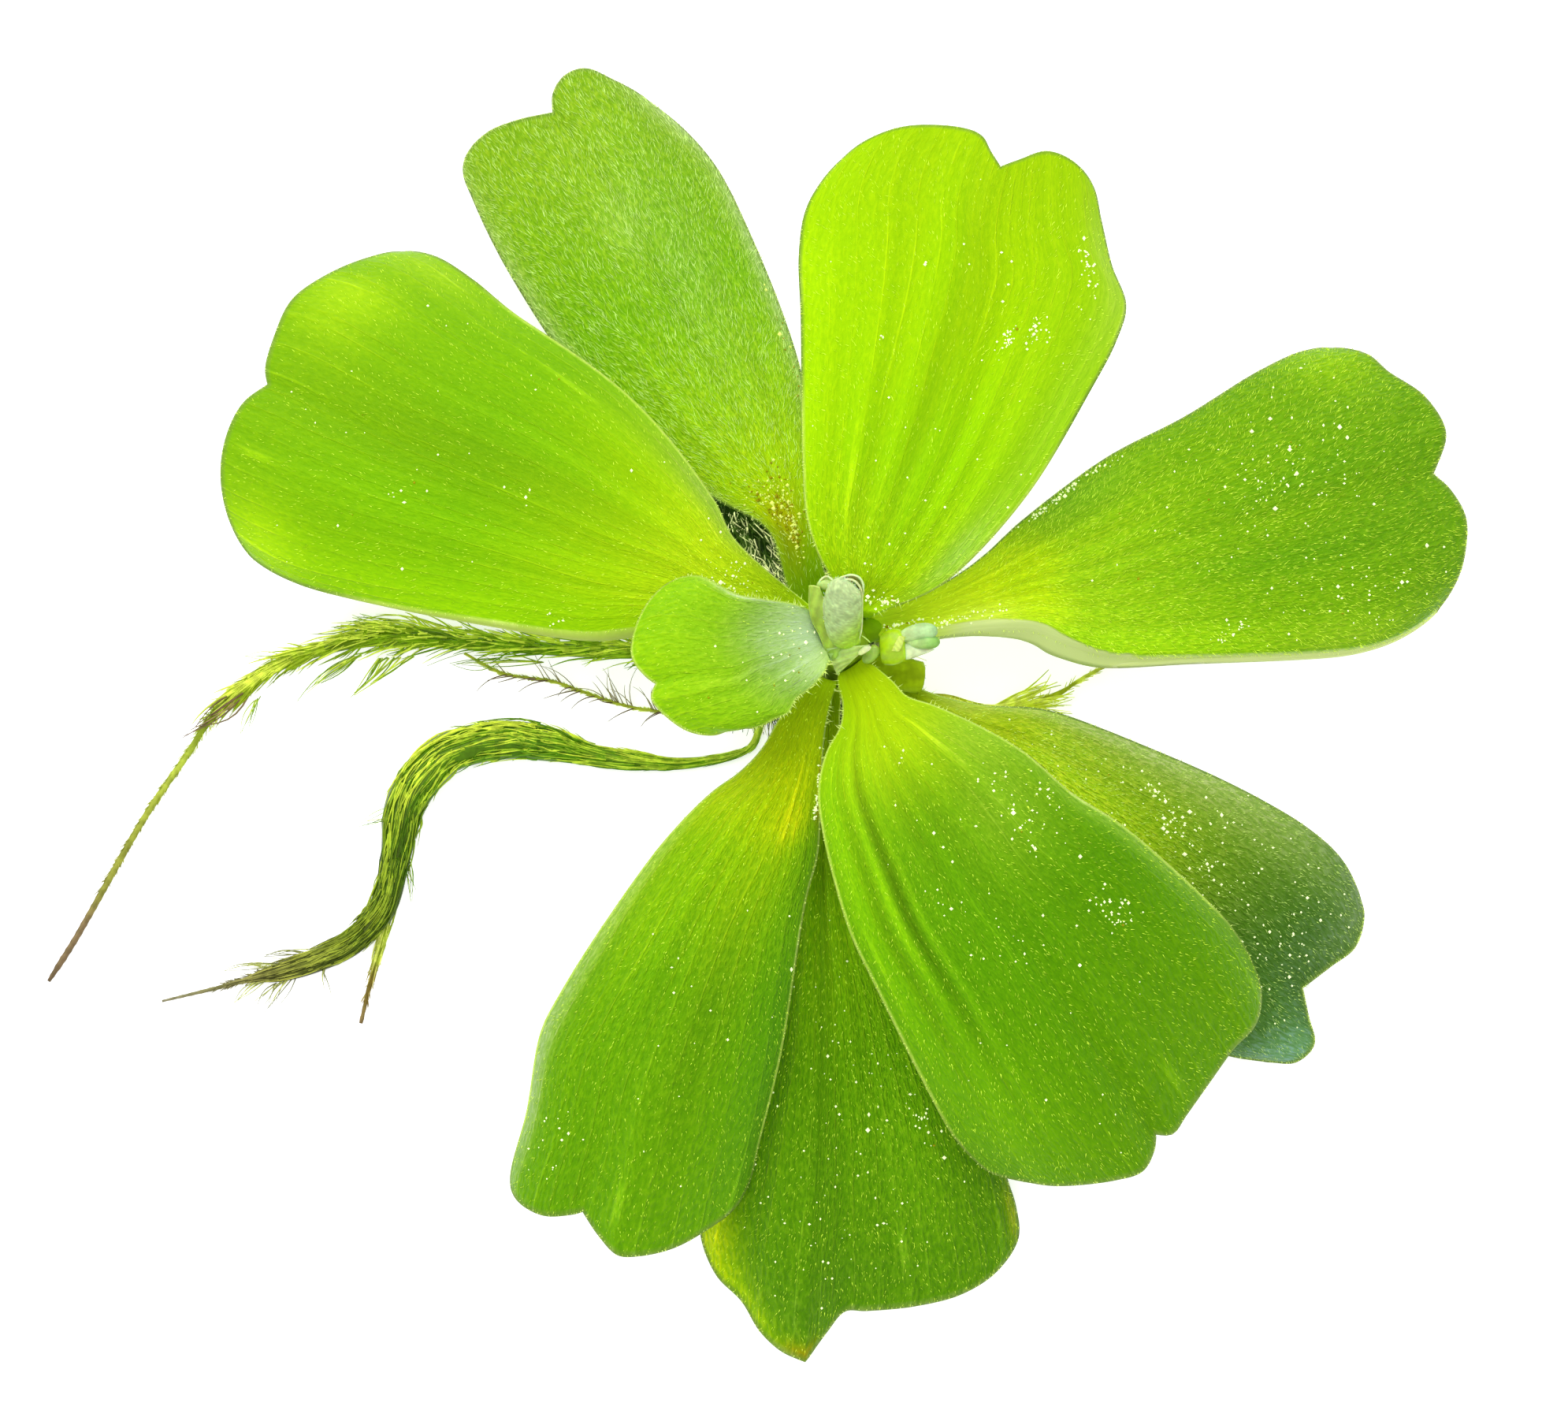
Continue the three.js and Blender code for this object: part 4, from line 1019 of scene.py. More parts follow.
def blade_hairs(upper, coat, velvet, look):
    """Roots, tips, normals and colours of the hairs that lie on the blade."""
    area = random_spots(upper, 1)[4]
    row, column, f, g, _ = random_spots(upper, int(area * HAIRS_PER_MM2 * look["hairs"]))
    kept = rng.random(len(row)) < velvet[row, column]
    row, column, f, g = row[kept], column[kept], f[kept], g[kept]
    count = len(row)
    roots = between(upper, row, column, f, g)
    veins = unit(upper[row + 1, column] - upper[row, column])
    normal = unit(np.cross(upper[row, column + 1] - upper[row, column], veins))
    aside = np.cross(veins, normal)
    u = (column + g) / (COLUMNS - 1) * 2 - 1
    drift = HAIR_DRIFT * np.sin(0.9 * roots[:, 0] + 1.7) * np.sin(0.8 * roots[:, 1] + 0.4)
    angle = (math.radians(look["comb"]) * u + drift + rng.normal(0, HAIR_SPREAD, count))[:, None]
    lift = rng.uniform(0.05, 0.35, count)[:, None]
    length = look["hair_length"] * rng.uniform(0.5, 1.25, count)[:, None]
    tips = roots + length * unit(veins * np.cos(angle) + aside * np.sin(angle) + normal * lift)
    pale = rng.uniform(0.2, 0.85, count)
    colours = mixed(between(coat, row, column, f, g), look.get("hair", HAIR_PALE), pale)
    return roots - HAIR_SINK * normal, tips, normal, colours


def rim_hairs(upper, look):
    """Roots, tips, normals and colours of the hairs round the rim, longest near the middle of the plant."""
    loop = border(upper)
    spots = rng.integers(COLUMNS - 1, len(loop), int(len(loop) * 2 * look["hairs"]))
    out = outwards(loop)[spots]
    roots = loop[spots] + rng.uniform(-0.2, 0.2, (len(spots), 1)) * np.roll(out, 1, axis=1)
    near = np.clip(1 - np.linalg.norm(roots[:, :2], axis=1) / CROWN_REACH, 0, 1)[:, None]
    length = rng.uniform(0.06, 0.22, (len(spots), 1)) + rng.uniform(0, 0.9, (len(spots), 1)) * near
    tips = roots + length * unit(out + rng.normal(0, RIM_HAIR_SPREAD, (len(spots), 3)))
    up = np.repeat([(0.0, 0.0, 1.0)], len(spots), axis=0)
    return roots, tips, up, np.repeat([RIM_HAIR], len(spots), axis=0)


def leaf_grains(upper, look):
    """Places of the grains, scattered round the middle of each cluster, and their sizes and colours."""
    clusters = []
    for along, across, long, wide, number in look["grains"]:
        s = along + long * 0.7 * rng.normal(0, 1, number)
        u = across + wide * 0.7 * rng.normal(0, 1, number)
        clusters.append(np.stack([s, u]))
    s, u = np.concatenate(clusters, axis=1)
    inside = (s > 0.01) & (s < 0.97) & (np.abs(u) < 0.98)
    down, over = s[inside] * (ROWS - 1), (u[inside] + 1) / 2 * (COLUMNS - 1)
    row, column = down.astype(int), over.astype(int)
    sizes = GRAIN_SIZE * rng.uniform(0.5, 1.0, len(row)) ** 1.5
    sizes = sizes * np.where(rng.random(len(row)) < 0.12, 1.6, 1.0)
    brown = rng.random((len(row), 1)) < look.get("brown", BROWN_SHARE)
    centres = between(upper, row, column, down - row, over - column) + np.array([0, 0, LOWEST])
    return centres, sizes, np.where(brown, GRAIN_BROWN, look.get("grain", GRAIN_PALE))


def build_hairs(name, upper, coat, velvet, look):
    """Hairs over the upper face and out from the rim of one leaf, and the grains on it, as one piece."""
    groups = [blade_hairs(upper, coat, velvet, look), rim_hairs(upper, look)]
    roots, tips, normals, colours = [np.concatenate(parts) for parts in zip(*groups)]
    tips[:, 2] = np.maximum(tips[:, 2], LOWEST)
    widths = HAIR_WIDTH * (1.6 - look["hair_length"]) * rng.uniform(0.7, 1.2, len(roots))
    hair_points, hair_faces = spikes(roots, tips, normals, widths)
    centres, sizes, grain_colours = leaf_grains(upper, look)
    grain_points, grain_faces = grains(centres, sizes)
    points, faces, colours = joined([(hair_points, [hair_faces], np.repeat(colours, 4, axis=0)),
                                     (grain_points, [grain_faces], np.repeat(grain_colours, 6, axis=0))])
    add_piece(name + "_hairs", points, faces, hair_material, colours, slot="leaf_pale")
    return len(roots), len(centres)


hair_count = {name: build_hairs(name, *skin, LOOKS[name]) for name, skin in skins.items()}
print("hairs and grains:", hair_count, "together", sum(sum(pair) for pair in hair_count.values()))

# %% [markdown]
# A root of water lettuce is a thin axis with hundreds of fine rootlets. Out of the water they cling
# together in a wet bundle, swept towards the tip, with a few loose ends. Each bundle here has a dark core
# that fills it, strands that lie on the core, short stubs along the bare tail, and loose strands where
# the real root shows them. A strand starts on the core, runs along with the root, and lifts its tip
# outwards.

# %% Tubes
GUIDE_POINTS = 400
THINNEST = 0.05
NEARLY_UP = (0.11, 0.07, 0.99)


def tubes(paths, radii, sides, colours):
    """Closed tubes: a ring of points round every station of every path, joined ring to ring.

    paths has the shape (tubes, stations, 3) and radii (tubes, stations). There is one colour for all of
    it, or one for every tube or station. No path runs along NEARLY_UP, so every ring has a side direction.
    """
    tangent = unit(np.gradient(paths, axis=1))
    side = unit(np.cross(tangent, NEARLY_UP))
    other = np.cross(tangent, side)
    angle = np.arange(sides) * 2 * np.pi / sides
    ring = side[:, :, None] * np.cos(angle)[:, None] + other[:, :, None] * np.sin(angle)[:, None]
    points = paths[:, :, None] + radii[:, :, None, None] * ring
    count, stations = paths.shape[:2]
    index = np.arange(count * stations * sides).reshape(count, stations, sides)
    a, d = index[:, :-1], index[:, 1:]
    b, c = np.roll(a, -1, axis=2), np.roll(d, -1, axis=2)
    faces = [np.stack([a, b, c, d], axis=-1).reshape(-1, 4), index[:, 0, ::-1], index[:, -1]]
    coat = np.repeat(np.broadcast_to(np.asarray(colours, float), paths.shape), sides, axis=1)
    return points.reshape(-1, 3), faces, coat.reshape(-1, 3)


def lifted(level, rise):
    """Paths of level places, each at its own height."""
    return np.concatenate([level, rise[..., None]], axis=-1)


def root_guide(path):
    """Middle line, half width and length of a root, from [x, y, half width] stations."""
    guide = smooth_curve(path, GUIDE_POINTS)
    return guide[:, :2], np.maximum(guide[:, 2], THINNEST), length_of(guide[:, :2])


def along_guide(guide, t):
    """Place, half width and level side direction at shares t of the root's length."""
    line, half, _ = guide
    steps = np.linspace(0, 1, len(line))
    x, y, w = [np.interp(t, steps, values) for values in (line[:, 0], line[:, 1], half)]
    ahead = unit(np.gradient(line, axis=0))
    side = np.stack([np.interp(t, steps, -ahead[:, 1]), np.interp(t, steps, ahead[:, 0])], axis=-1)
    return np.stack([x, y], axis=-1), w, side


# %% [markdown]
# The dimensions of the roots, in mm.
#
# - path: stations as (x, y, half width), from the crown to the tip
# - core: the share of the width that the dark core fills; axis: half the thickness of its bare tail
# - strands: their number; length, thick: their own size; parting: how much they part from the middle;
#   flare: how far they stand off at the tips; until: how far along the root they go
# - stubs: (first, last, number) of the stubs along the bare tail; stub_reach: their size, 1 if it isn't
#   given
# - tones: (share along the root, dark colour, light colour)
# - tufts: loose strands that start between two places and end between two others, as (start, start, end,
#   end, number, thickness), with their own dark and light colour where they have one

# %% Root dimensions
OLIVE_ENDS = ((96, 100, 50), (182, 190, 104))
BROWN_ENDS = ((96, 70, 56), (170, 156, 90))

ROOTS = {
    "root_upper": dict(
        path=[(-9.0, 2.6, 0.8), (-12.6, 1.4, 0.8), (-16.8, 1.3, 1.6), (-23.4, 1.5, 1.4),
              (-29.8, 2.0, 1.5), (-36.1, 2.4, 2.0), (-39.3, 2.1, 1.7), (-42.5, 1.2, 1.2),
              (-45.7, -0.1, 1.1), (-49.4, -2.8, 1.0), (-51.0, -4.4, 0.8), (-52.6, -6.9, 0.3),
              (-56.0, -12.1, 0.3), (-60.5, -20.4, 0.3), (-61.6, -22.4, 0.3), (-63.5, -25.5, 0.1)],
        core=0.4, strands=420, length=(1.8, 5.0), thick=0.09, parting=0.6, flare=0.6, until=0.61,
        stubs=(0.57, 0.88, 240), axis=0.26,
        tones=[(0.0, (120, 164, 8), (212, 238, 70)), (0.28, (84, 130, 4), (200, 224, 66)),
               (0.42, (104, 142, 4), (216, 234, 80)), (0.58, (114, 138, 10), (208, 222, 76)),
               (0.68, (134, 156, 34), (184, 198, 78)), (0.88, (116, 116, 46), (150, 150, 64)),
               (0.92, (104, 84, 58), (140, 116, 90)), (1.0, (84, 66, 52), (104, 82, 64))],
        tufts=[((-30.0, 3.3), (-37.0, 2.9), (-39.2, 4.6), (-41.0, 3.2), 30, 0.09),
               ((-34.4, 0.9), (-37.6, 0.7), (-38.0, -1.4), (-40.6, -3.2), 14, 0.08),
               ((-38.6, 1.0), (-39.6, 0.8), (-42.8, -1.6), (-44.4, -3.3), 12, 0.08),
               ((-24.0, 0.4), (-28.6, 0.7), (-31.0, 0.2), (-33.6, 0.1), 12, 0.06),
               ((-43.0, 0.9), (-45.0, 0.5), (-48.4, 1.2), (-48.6, 0.4), 5, 0.05),
               ((-46.8, -2.4), (-47.4, -2.8), (-47.6, -5.0), (-48.6, -5.8), 7, 0.05),
               ((-47.2, -1.4), (-48.0, -1.8), (-52.9, -5.4), (-53.1, -5.8), 9, 0.09, BROWN_ENDS)]),
    "root_lower": dict(
        path=[(-4.5, -2.5, 0.3), (-6.4, -4.3, 0.3), (-7.4, -6.5, 0.3), (-10.7, -7.6, 0.4),
              (-13.3, -7.9, 0.5), (-17.1, -7.6, 0.9), (-20.2, -7.2, 1.0), (-23.4, -6.4, 1.6),
              (-27.2, -6.1, 1.8), (-31.6, -7.2, 1.9), (-33.6, -9.1, 2.0), (-35.0, -11.6, 1.9),
              (-35.8, -15.7, 1.4), (-36.8, -19.6, 1.3), (-39.2, -22.4, 1.2), (-42.2, -23.9, 1.1),
              (-45.0, -24.8, 0.9), (-46.4, -25.1, 0.6), (-47.6, -25.4, 0.3), (-49.9, -26.0, 0.14),
              (-54.4, -27.1, 0.05)],
        core=0.86, strands=680, length=(1.8, 5.2), thick=0.07, parting=0.1, flare=0.12, until=0.87,
        stubs=(0.78, 0.93, 160), axis=0.16,
        tones=[(0.0, (140, 180, 30), (210, 236, 84)), (0.16, (76, 124, 8), (184, 208, 56)),
               (0.32, (70, 120, 6), (200, 220, 62)), (0.5, (76, 122, 6), (208, 224, 64)),
               (0.62, (48, 82, 4), (148, 172, 40)), (0.74, (48, 70, 6), (132, 150, 34)),
               (0.84, (46, 50, 14), (180, 184, 80)), (0.9, (74, 70, 38), (146, 142, 84)),
               (1.0, (108, 104, 84), (128, 122, 100))],
        tufts=[((-18.9, -6.6), (-22.4, -5.6), (-28.8, -4.3), (-30.6, -5.4), 12, 0.06),
               ((-36.2, -11.4), (-36.7, -12.6), (-38.8, -12.7), (-39.6, -13.5), 6, 0.05),
               ((-34.8, -14.6), (-35.2, -16.0), (-34.0, -18.2), (-34.6, -19.4), 8, 0.05),
               ((-41.2, -24.4), (-41.8, -24.9), (-40.6, -26.8), (-41.6, -26.4), 4, 0.05, OLIVE_ENDS),
               ((-43.6, -25.3), (-45.4, -25.8), (-45.4, -28.8), (-47.2, -27.2), 12, 0.055, OLIVE_ENDS),
               ((-45.8, -25.6), (-47.0, -25.7), (-48.2, -27.0), (-49.2, -27.9), 8, 0.055, OLIVE_ENDS),
               ((-44.4, -24.2), (-46.2, -24.6), (-48.0, -24.0), (-50.4, -24.9), 12, 0.055, OLIVE_ENDS),
               ((-42.0, -23.0), (-43.6, -23.6), (-45.6, -23.2), (-47.0, -23.8), 7, 0.055, OLIVE_ENDS)]),
    "root_lower_fork": dict(
        path=[(-35.7, -16.6, 0.5), (-36.0, -18.4, 0.5), (-36.3, -20.0, 0.5), (-36.8, -22.0, 0.45),
              (-37.5, -24.6, 0.35), (-38.0, -26.6, 0.3), (-38.5, -28.9, 0.1)],
        core=0.6, strands=64, length=(2.0, 4.5), thick=0.075, parting=0.0, flare=0.2, until=0.6,
        stubs=(0.4, 0.9, 26), axis=0.16,
        tones=[(0.0, (96, 130, 12), (212, 226, 90)), (0.6, (140, 156, 40), (228, 232, 124)),
               (0.72, (120, 98, 30), (206, 200, 110)), (1.0, (100, 76, 44), (130, 110, 80))],
        tufts=[]),
    "root_right": dict(
        path=[(2.6, -2.6, 0.2), (3.9, -2.6, 0.2), (8.1, -2.3, 0.2), (11.5, -3.2, 0.2), (14.0, -3.2, 0.4),
              (15.9, -2.8, 0.9), (17.7, -2.0, 0.7), (19.1, -1.0, 0.2), (20.7, -0.1, 0.2),
              (22.7, 0.9, 0.1)],
        core=0.3, strands=20, length=(2.4, 4.4), thick=0.1, parting=0.3, flare=0.3, until=0.6,
        stubs=(0.55, 0.9, 30), axis=0.15,
        tones=[(0.0, (150, 150, 40), (214, 226, 84)), (0.5, (176, 196, 24), (236, 250, 96)),
               (0.7, (176, 196, 30), (236, 250, 110)), (1.0, (170, 186, 60), (214, 226, 110))],
        tufts=[((12.2, -3.2), (14.2, -3.0), (16.6, -0.2), (18.2, -1.3), 11, 0.12),
               ((12.8, -3.4), (14.6, -3.2), (18.2, -1.5), (18.9, -2.8), 10, 0.12),
               ((11.6, -3.6), (14.0, -3.5), (18.2, -3.1), (19.0, -3.9), 10, 0.11)]),
}


# %% [markdown]
# A strand lies on the upper half of its bundle, so it rises towards the middle and keeps low at the sides.
# Strands on the side towards the lamp are lighter. Stubs and loose strands are tubes of the same kind.

# %% Strands, stubs and loose strands
ROOT_FLATNESS = 0.6
LIGHT_SIDE = 0.3
STRAND_STATIONS, STUB_STATIONS, TUFT_STATIONS = 7, 4, 8
STRAND_SIDES, STUB_SIDES = 4, 3
STRAND_REACH = 0.94
STUB_THICKNESS = 0.07
TUFT_HEIGHT = 0.5
TUFT_BOW = 0.06


def toned(root, t, share):
    """Colours at shares t along the root, from its dark tone there to its light one by share."""
    stations = [station for station, _, _ in root["tones"]]

    def along(which):
        tone = np.array([row[which] for row in root["tones"]], float)
        return np.stack([np.interp(t, stations, tone[:, channel]) for channel in range(3)], axis=-1)

    return mixed(along(1), along(2), share)


def strand_meshes(guide, root):
    """Strands that lie on the upper half of the bundle, run along it, and part from its middle."""
    count = root["strands"]
    run = np.linspace(0, 1, STRAND_STATIONS)[None]
    length = rng.uniform(*root["length"], (count, 1)) / guide[2]
    start = rng.random((count, 1)) * root["until"] - 0.2 * length
    t = np.clip(start + length * run, 0, 1)
    place, half, side = along_guide(guide, t)
    lateral = rng.uniform(-1, 1, (count, 1))
    parted = 1 - root["parting"] * (1 - run)
    wave = 0.07 * np.sin(rng.uniform(0, 6.3, (count, 1)) + run * rng.uniform(2, 8, (count, 1)))
    flare = root["flare"] * rng.random((count, 1)) ** 2 * np.sign(lateral) * run ** 2.5
    offset = (STRAND_REACH * lateral * parted + wave) * half + flare
    room = np.sqrt(np.clip(1 - (lateral * parted) ** 2, 0.02, 1))
    rise = half * ROOT_FLATNESS * (1 + 0.9 * room) + 0.12 * run ** 2 * rng.random((count, 1))
    paths = lifted(place + offset[..., None] * side, np.maximum(rise, 0.1))
    thick = root["thick"] * rng.uniform(0.6, 1.25, (count, 1)) * (1 - 0.8 * run ** 3)
    share = np.clip(1.5 * rng.random((count, 1)) - 0.35 - LIGHT_SIDE * lateral + 0.15 * run, 0, 1)
    return tubes(paths, thick, STRAND_SIDES, toned(root, t, share))


def stub_meshes(guide, root):
    """Short stubs along the bare tail, at a slant to it."""
    first, last, count = root["stubs"]
    run = np.linspace(0, 1, STUB_STATIONS)[None]
    start = rng.uniform(first, last, (count, 1))
    reach = root.get("stub_reach", 1.0)
    length = reach * rng.uniform(0.35, 1.0, (count, 1))
    t = np.clip(start + length * run / guide[2], 0, 1)
    place, half, side = along_guide(guide, t)
    out = reach * (0.2 + 0.5 * half[:, :1]) * rng.uniform(0.4, 1.1, (count, 1))
    offset = rng.choice([-1, 1], (count, 1)) * (0.05 + out * run)
    rise = np.maximum(half * ROOT_FLATNESS, 0.12) + rng.uniform(0, 0.25, (count, 1)) * run
    thick = np.full((count, 1), STUB_THICKNESS) * (1 - 0.6 * run)
    colours = toned(root, t, rng.random((count, 1)))
    return tubes(lifted(place + offset[..., None] * side, rise), thick, STUB_SIDES, colours)


def tuft_meshes(root):
    """Loose strands from places between the two starts to places between the two ends, bowed a little."""
    parts = []
    run = np.linspace(0, 1, TUFT_STATIONS)[None]
    for a, b, c, d, count, size, *own in root["tufts"]:
        a, b, c, d = np.array([a, b, c, d])
        dark, light = own[0] if own else root["tones"][2][1:]
        first, last = rng.random((count, 1)), rng.random((count, 1))
        start, end = a * (1 - first) + b * first, c * (1 - last) + d * last
        end = start + (end - start) * rng.uniform(0.6, 1.05, (count, 1))
        across = np.stack([-(end - start)[:, 1], (end - start)[:, 0]], axis=-1)
        bow = TUFT_BOW * across * rng.normal(0, 1, (count, 1))
        level = start[:, None] + (end - start)[:, None] * run[..., None]
        level = level + bow[:, None] * np.sin(np.pi * run)[..., None]
        rise = TUFT_HEIGHT + rng.uniform(0.1, 0.9, (count, 1)) * np.sin(0.3 + 2.5 * run)
        thick = size * rng.uniform(0.7, 1.1, (count, 1)) * (1 - 0.7 * run)
        share = np.clip(1.4 * rng.random((count, 1)) - 0.2 - 0.3 * run, 0, 1)
        parts.append(tubes(lifted(level, rise), thick, STRAND_SIDES, mixed(dark, light, share)))
    return parts


# %% [markdown]
# The core of a bundle is one closed tube, flatter than it is wide. Where strands cover it, it is painted
# darker, a painted shade between the strands. Where it is bare, at the tail, it is beaded and a little
# lighter, as the real axis is where its rootlets have come off.

# %% Build the roots
CORE_RINGS, CORE_SIDES = 260, 14
BEAD_SPACING = 0.8


def root_core(guide, root):
    """Closed flat tube: its girth is a share of the root's, and at least that of the bare axis."""
    t = np.linspace(0, 1, CORE_RINGS)
    place, half, side = along_guide(guide, t)
    angle = np.arange(CORE_SIDES) * 2 * np.pi / CORE_SIDES
    girth = np.maximum(half * root["core"], np.minimum(root["axis"], 1.1 * half + 0.04))
    bare = np.clip((root["axis"] * 1.9 - half) / root["axis"], 0, 1)
    beads = 0.1 * bare * np.sin(2 * np.pi * guide[2] * t / BEAD_SPACING)
    bead = 1 + beads[:, None] + 0.08 * np.sin(3 * angle + 9 * t[:, None])
    level = girth[:, None] * bead * np.cos(angle)
    rise = (half * ROOT_FLATNESS)[:, None] + (girth * ROOT_FLATNESS)[:, None] * bead * np.sin(angle)
    points = lifted(place[:, None] + level[..., None] * side[:, None], np.maximum(rise, 0.03))
    # painted shade: the core is darker where the strands cover it
    coat = toned(root, t, 0.5 * bare) * (0.85 + 0.15 * bare)[:, None]
    faces = [array[:, ::-1] for array in capped_faces(CORE_RINGS, CORE_SIDES)]
    return points.reshape(-1, 3), faces, np.repeat(coat, CORE_SIDES, axis=0)


for name, root in ROOTS.items():
    guide = root_guide(root["path"])
    bundle = [root_core(guide, root), strand_meshes(guide, root), stub_meshes(guide, root)]
    add_part(name, bundle + tuft_meshes(root), root_material)
    print(f"    {guide[2]:.1f} mm long, {root['strands']} strands")

# %% [markdown]
# The brown root is a single thin thread with a rough coat of stubs. Its hairs are long and fine and stand
# well apart: one row slopes up and away from the crown, the other, darker and thicker, down and away.

# %% Brown root
BROWN = dict(path=[(-30.5, 1.2, 0.2), (-27.8, -0.3, 0.2), (-26.3, -0.7, 0.2), (-23.4, -1.1, 0.2),
                   (-20.3, -2.2, 0.2), (-17.1, -3.2, 0.2), (-13.9, -3.6, 0.2), (-11.4, -3.2, 0.2),
                   (-9.0, -1.0, 0.2)],
             stubs=(0.02, 0.95, 240), stub_reach=0.55,
             tones=[(0.0, (130, 148, 24), (226, 246, 120)), (1.0, (140, 156, 30), (226, 246, 120))])
BROWN_THREAD = (146, 160, 40)
BROWN_RADIUS = 0.12
BROWN_HEIGHT = 0.3
BROWN_SWAY = 0.35
BROWN_HAIRS = [dict(count=24, heading=(112, 136), length=(1.6, 3.6), thick=0.055, colour=(128, 120, 66)),
               dict(count=16, heading=(180, 215), length=(1.2, 3.0), thick=0.075, colour=(96, 74, 52))]

guide = root_guide(BROWN["path"][::-1])
place, half, _ = along_guide(guide, np.linspace(0, 1, 120)[None])
axis = lifted(place, np.full(half.shape, BROWN_HEIGHT))
parts = [tubes(axis, np.full(half.shape, BROWN_RADIUS), 6, BROWN_THREAD), stub_meshes(guide, BROWN)]
run = np.linspace(0, 1, STRAND_STATIONS)[None]
for row in BROWN_HAIRS:
    count = row["count"]
    foot, _, _ = along_guide(guide, rng.uniform(0.08, 0.9, (count, 1)))
    heading = np.radians(rng.uniform(*row["heading"], (count, 1)))
    heading = heading + BROWN_SWAY * rng.normal(0, 1, (count, 1)) * run
    reach = rng.uniform(*row["length"], (count, 1)) * run
    rise = BROWN_HEIGHT + rng.uniform(0.3, 1.0, (count, 1)) * np.sin(np.pi * run * 0.8)
    level = foot + np.stack([reach * np.cos(heading), reach * np.sin(heading)], axis=-1)
    thick = row["thick"] * (1 - 0.7 * run) * np.ones((count, 1))
    parts.append(tubes(lifted(level, rise), thick, STUB_SIDES, row["colour"]))
add_part("root_brown", parts, root_material)

# %% [markdown]
# Under the crown the short roots are matted together. The mat is a low dome on an ellipse, roughened, and
# flat below, where the plant rests on it.

# %% Root mat
TANGLE_CENTRE = (-5.0, 5.0)
TANGLE_RADII = (11.0, 7.5)
TANGLE_HEIGHT = 2.8
TANGLE_HEADING = 130.0
TANGLE_RINGS, TANGLE_SPOKES = 28, 96
TANGLE_FLOOR = (26, 52, 6)

turn = math.radians(TANGLE_HEADING)


def tangle_place(a, b, height):
    """Place from shares a and b of the mat's two radii."""
    x, y = a * TANGLE_RADII[0], b * TANGLE_RADII[1]
    return np.stack([TANGLE_CENTRE[0] + x * math.cos(turn) - y * math.sin(turn),
                     TANGLE_CENTRE[1] + x * math.sin(turn) + y * math.cos(turn), height], axis=-1)


r = np.sin(np.linspace(0, np.pi / 2, TANGLE_RINGS))[:, None]
angle = np.linspace(0, 2 * np.pi, TANGLE_SPOKES, endpoint=False)[None]
rough = 1 + 0.05 * np.sin(9 * angle + 3 * r) + 0.04 * np.sin(17 * angle - 5 * r)
a, b = r * np.cos(angle) * (0.97 + 0.03 * rough), r * np.sin(angle) * (0.97 + 0.03 * rough)
dome = tangle_place(a, b, TANGLE_HEIGHT * 0.9 * np.sqrt(np.clip(1 - r ** 2, 0, 1)) * rough)
dome_points = np.concatenate([dome.reshape(-1, 3), tangle_place(a, b, 0 * a).reshape(-1, 3)])
quads = grid_faces(TANGLE_RINGS, TANGLE_SPOKES, flip=True, wrap=True)
dome_faces = [quads, quads[:, ::-1] + TANGLE_RINGS * TANGLE_SPOKES]
mat = (dome_points, dome_faces, np.repeat([TANGLE_FLOOR], len(dome_points), axis=0))
print("mat:", len(dome_points), "points")

# %% [markdown]
# Thousands of bristles lie on the dome, most of them one way and bent down at its edge. Half of them are
# almost as dark as the mat, the others of any tone up to cream. Those under the leaves are painted darker,
# a painted shade, and they are painted lighter towards one end of the long axis, a painted light against
# the shade at the dome's low edge.

# %% Bristles of the mat
TANGLE_BRISTLES = 6400
BRISTLE_SIDES = 3
BRISTLE_LIE = -66.0
BRISTLE_SPREAD = 26.0
BRISTLE_LENGTH = (1.5, 4.0)
BRISTLE_RADIUS = (0.045, 0.08)
BRISTLE_REACH = 0.96
BRISTLE_DARK = (34, 58, 8)
BRISTLE_PALE = (244, 246, 182)
OPEN_NORTH, OPEN_WEST = 13.0, -11.0
PAINTED_SHADE_UNDER_LEAVES = 0.3

count = TANGLE_BRISTLES
angle, r = rng.random(count) * 2 * np.pi, BRISTLE_REACH * np.sqrt(rng.random(count))
foot = tangle_place(r * np.cos(angle), r * np.sin(angle), TANGLE_HEIGHT * 0.85 * np.sqrt(1 - r ** 2))
run = np.linspace(0, 1, 5)[None]
lie = np.radians(rng.normal(BRISTLE_LIE, BRISTLE_SPREAD, (count, 1)))
length = rng.uniform(*BRISTLE_LENGTH, (count, 1))
bend = rng.normal(0, 0.5, (count, 1)) * run ** 2
step = np.stack([np.cos(lie) * run * length - np.sin(lie) * bend,
                 np.sin(lie) * run * length + np.cos(lie) * bend,
                 rng.uniform(0.1, 0.7, (count, 1)) * np.sin(np.pi * run)], axis=-1)
paths = foot[:, None] + step
paths[..., 2] = np.maximum(paths[..., 2] - 0.4 * run * length * r[:, None] ** 3, 0.06)
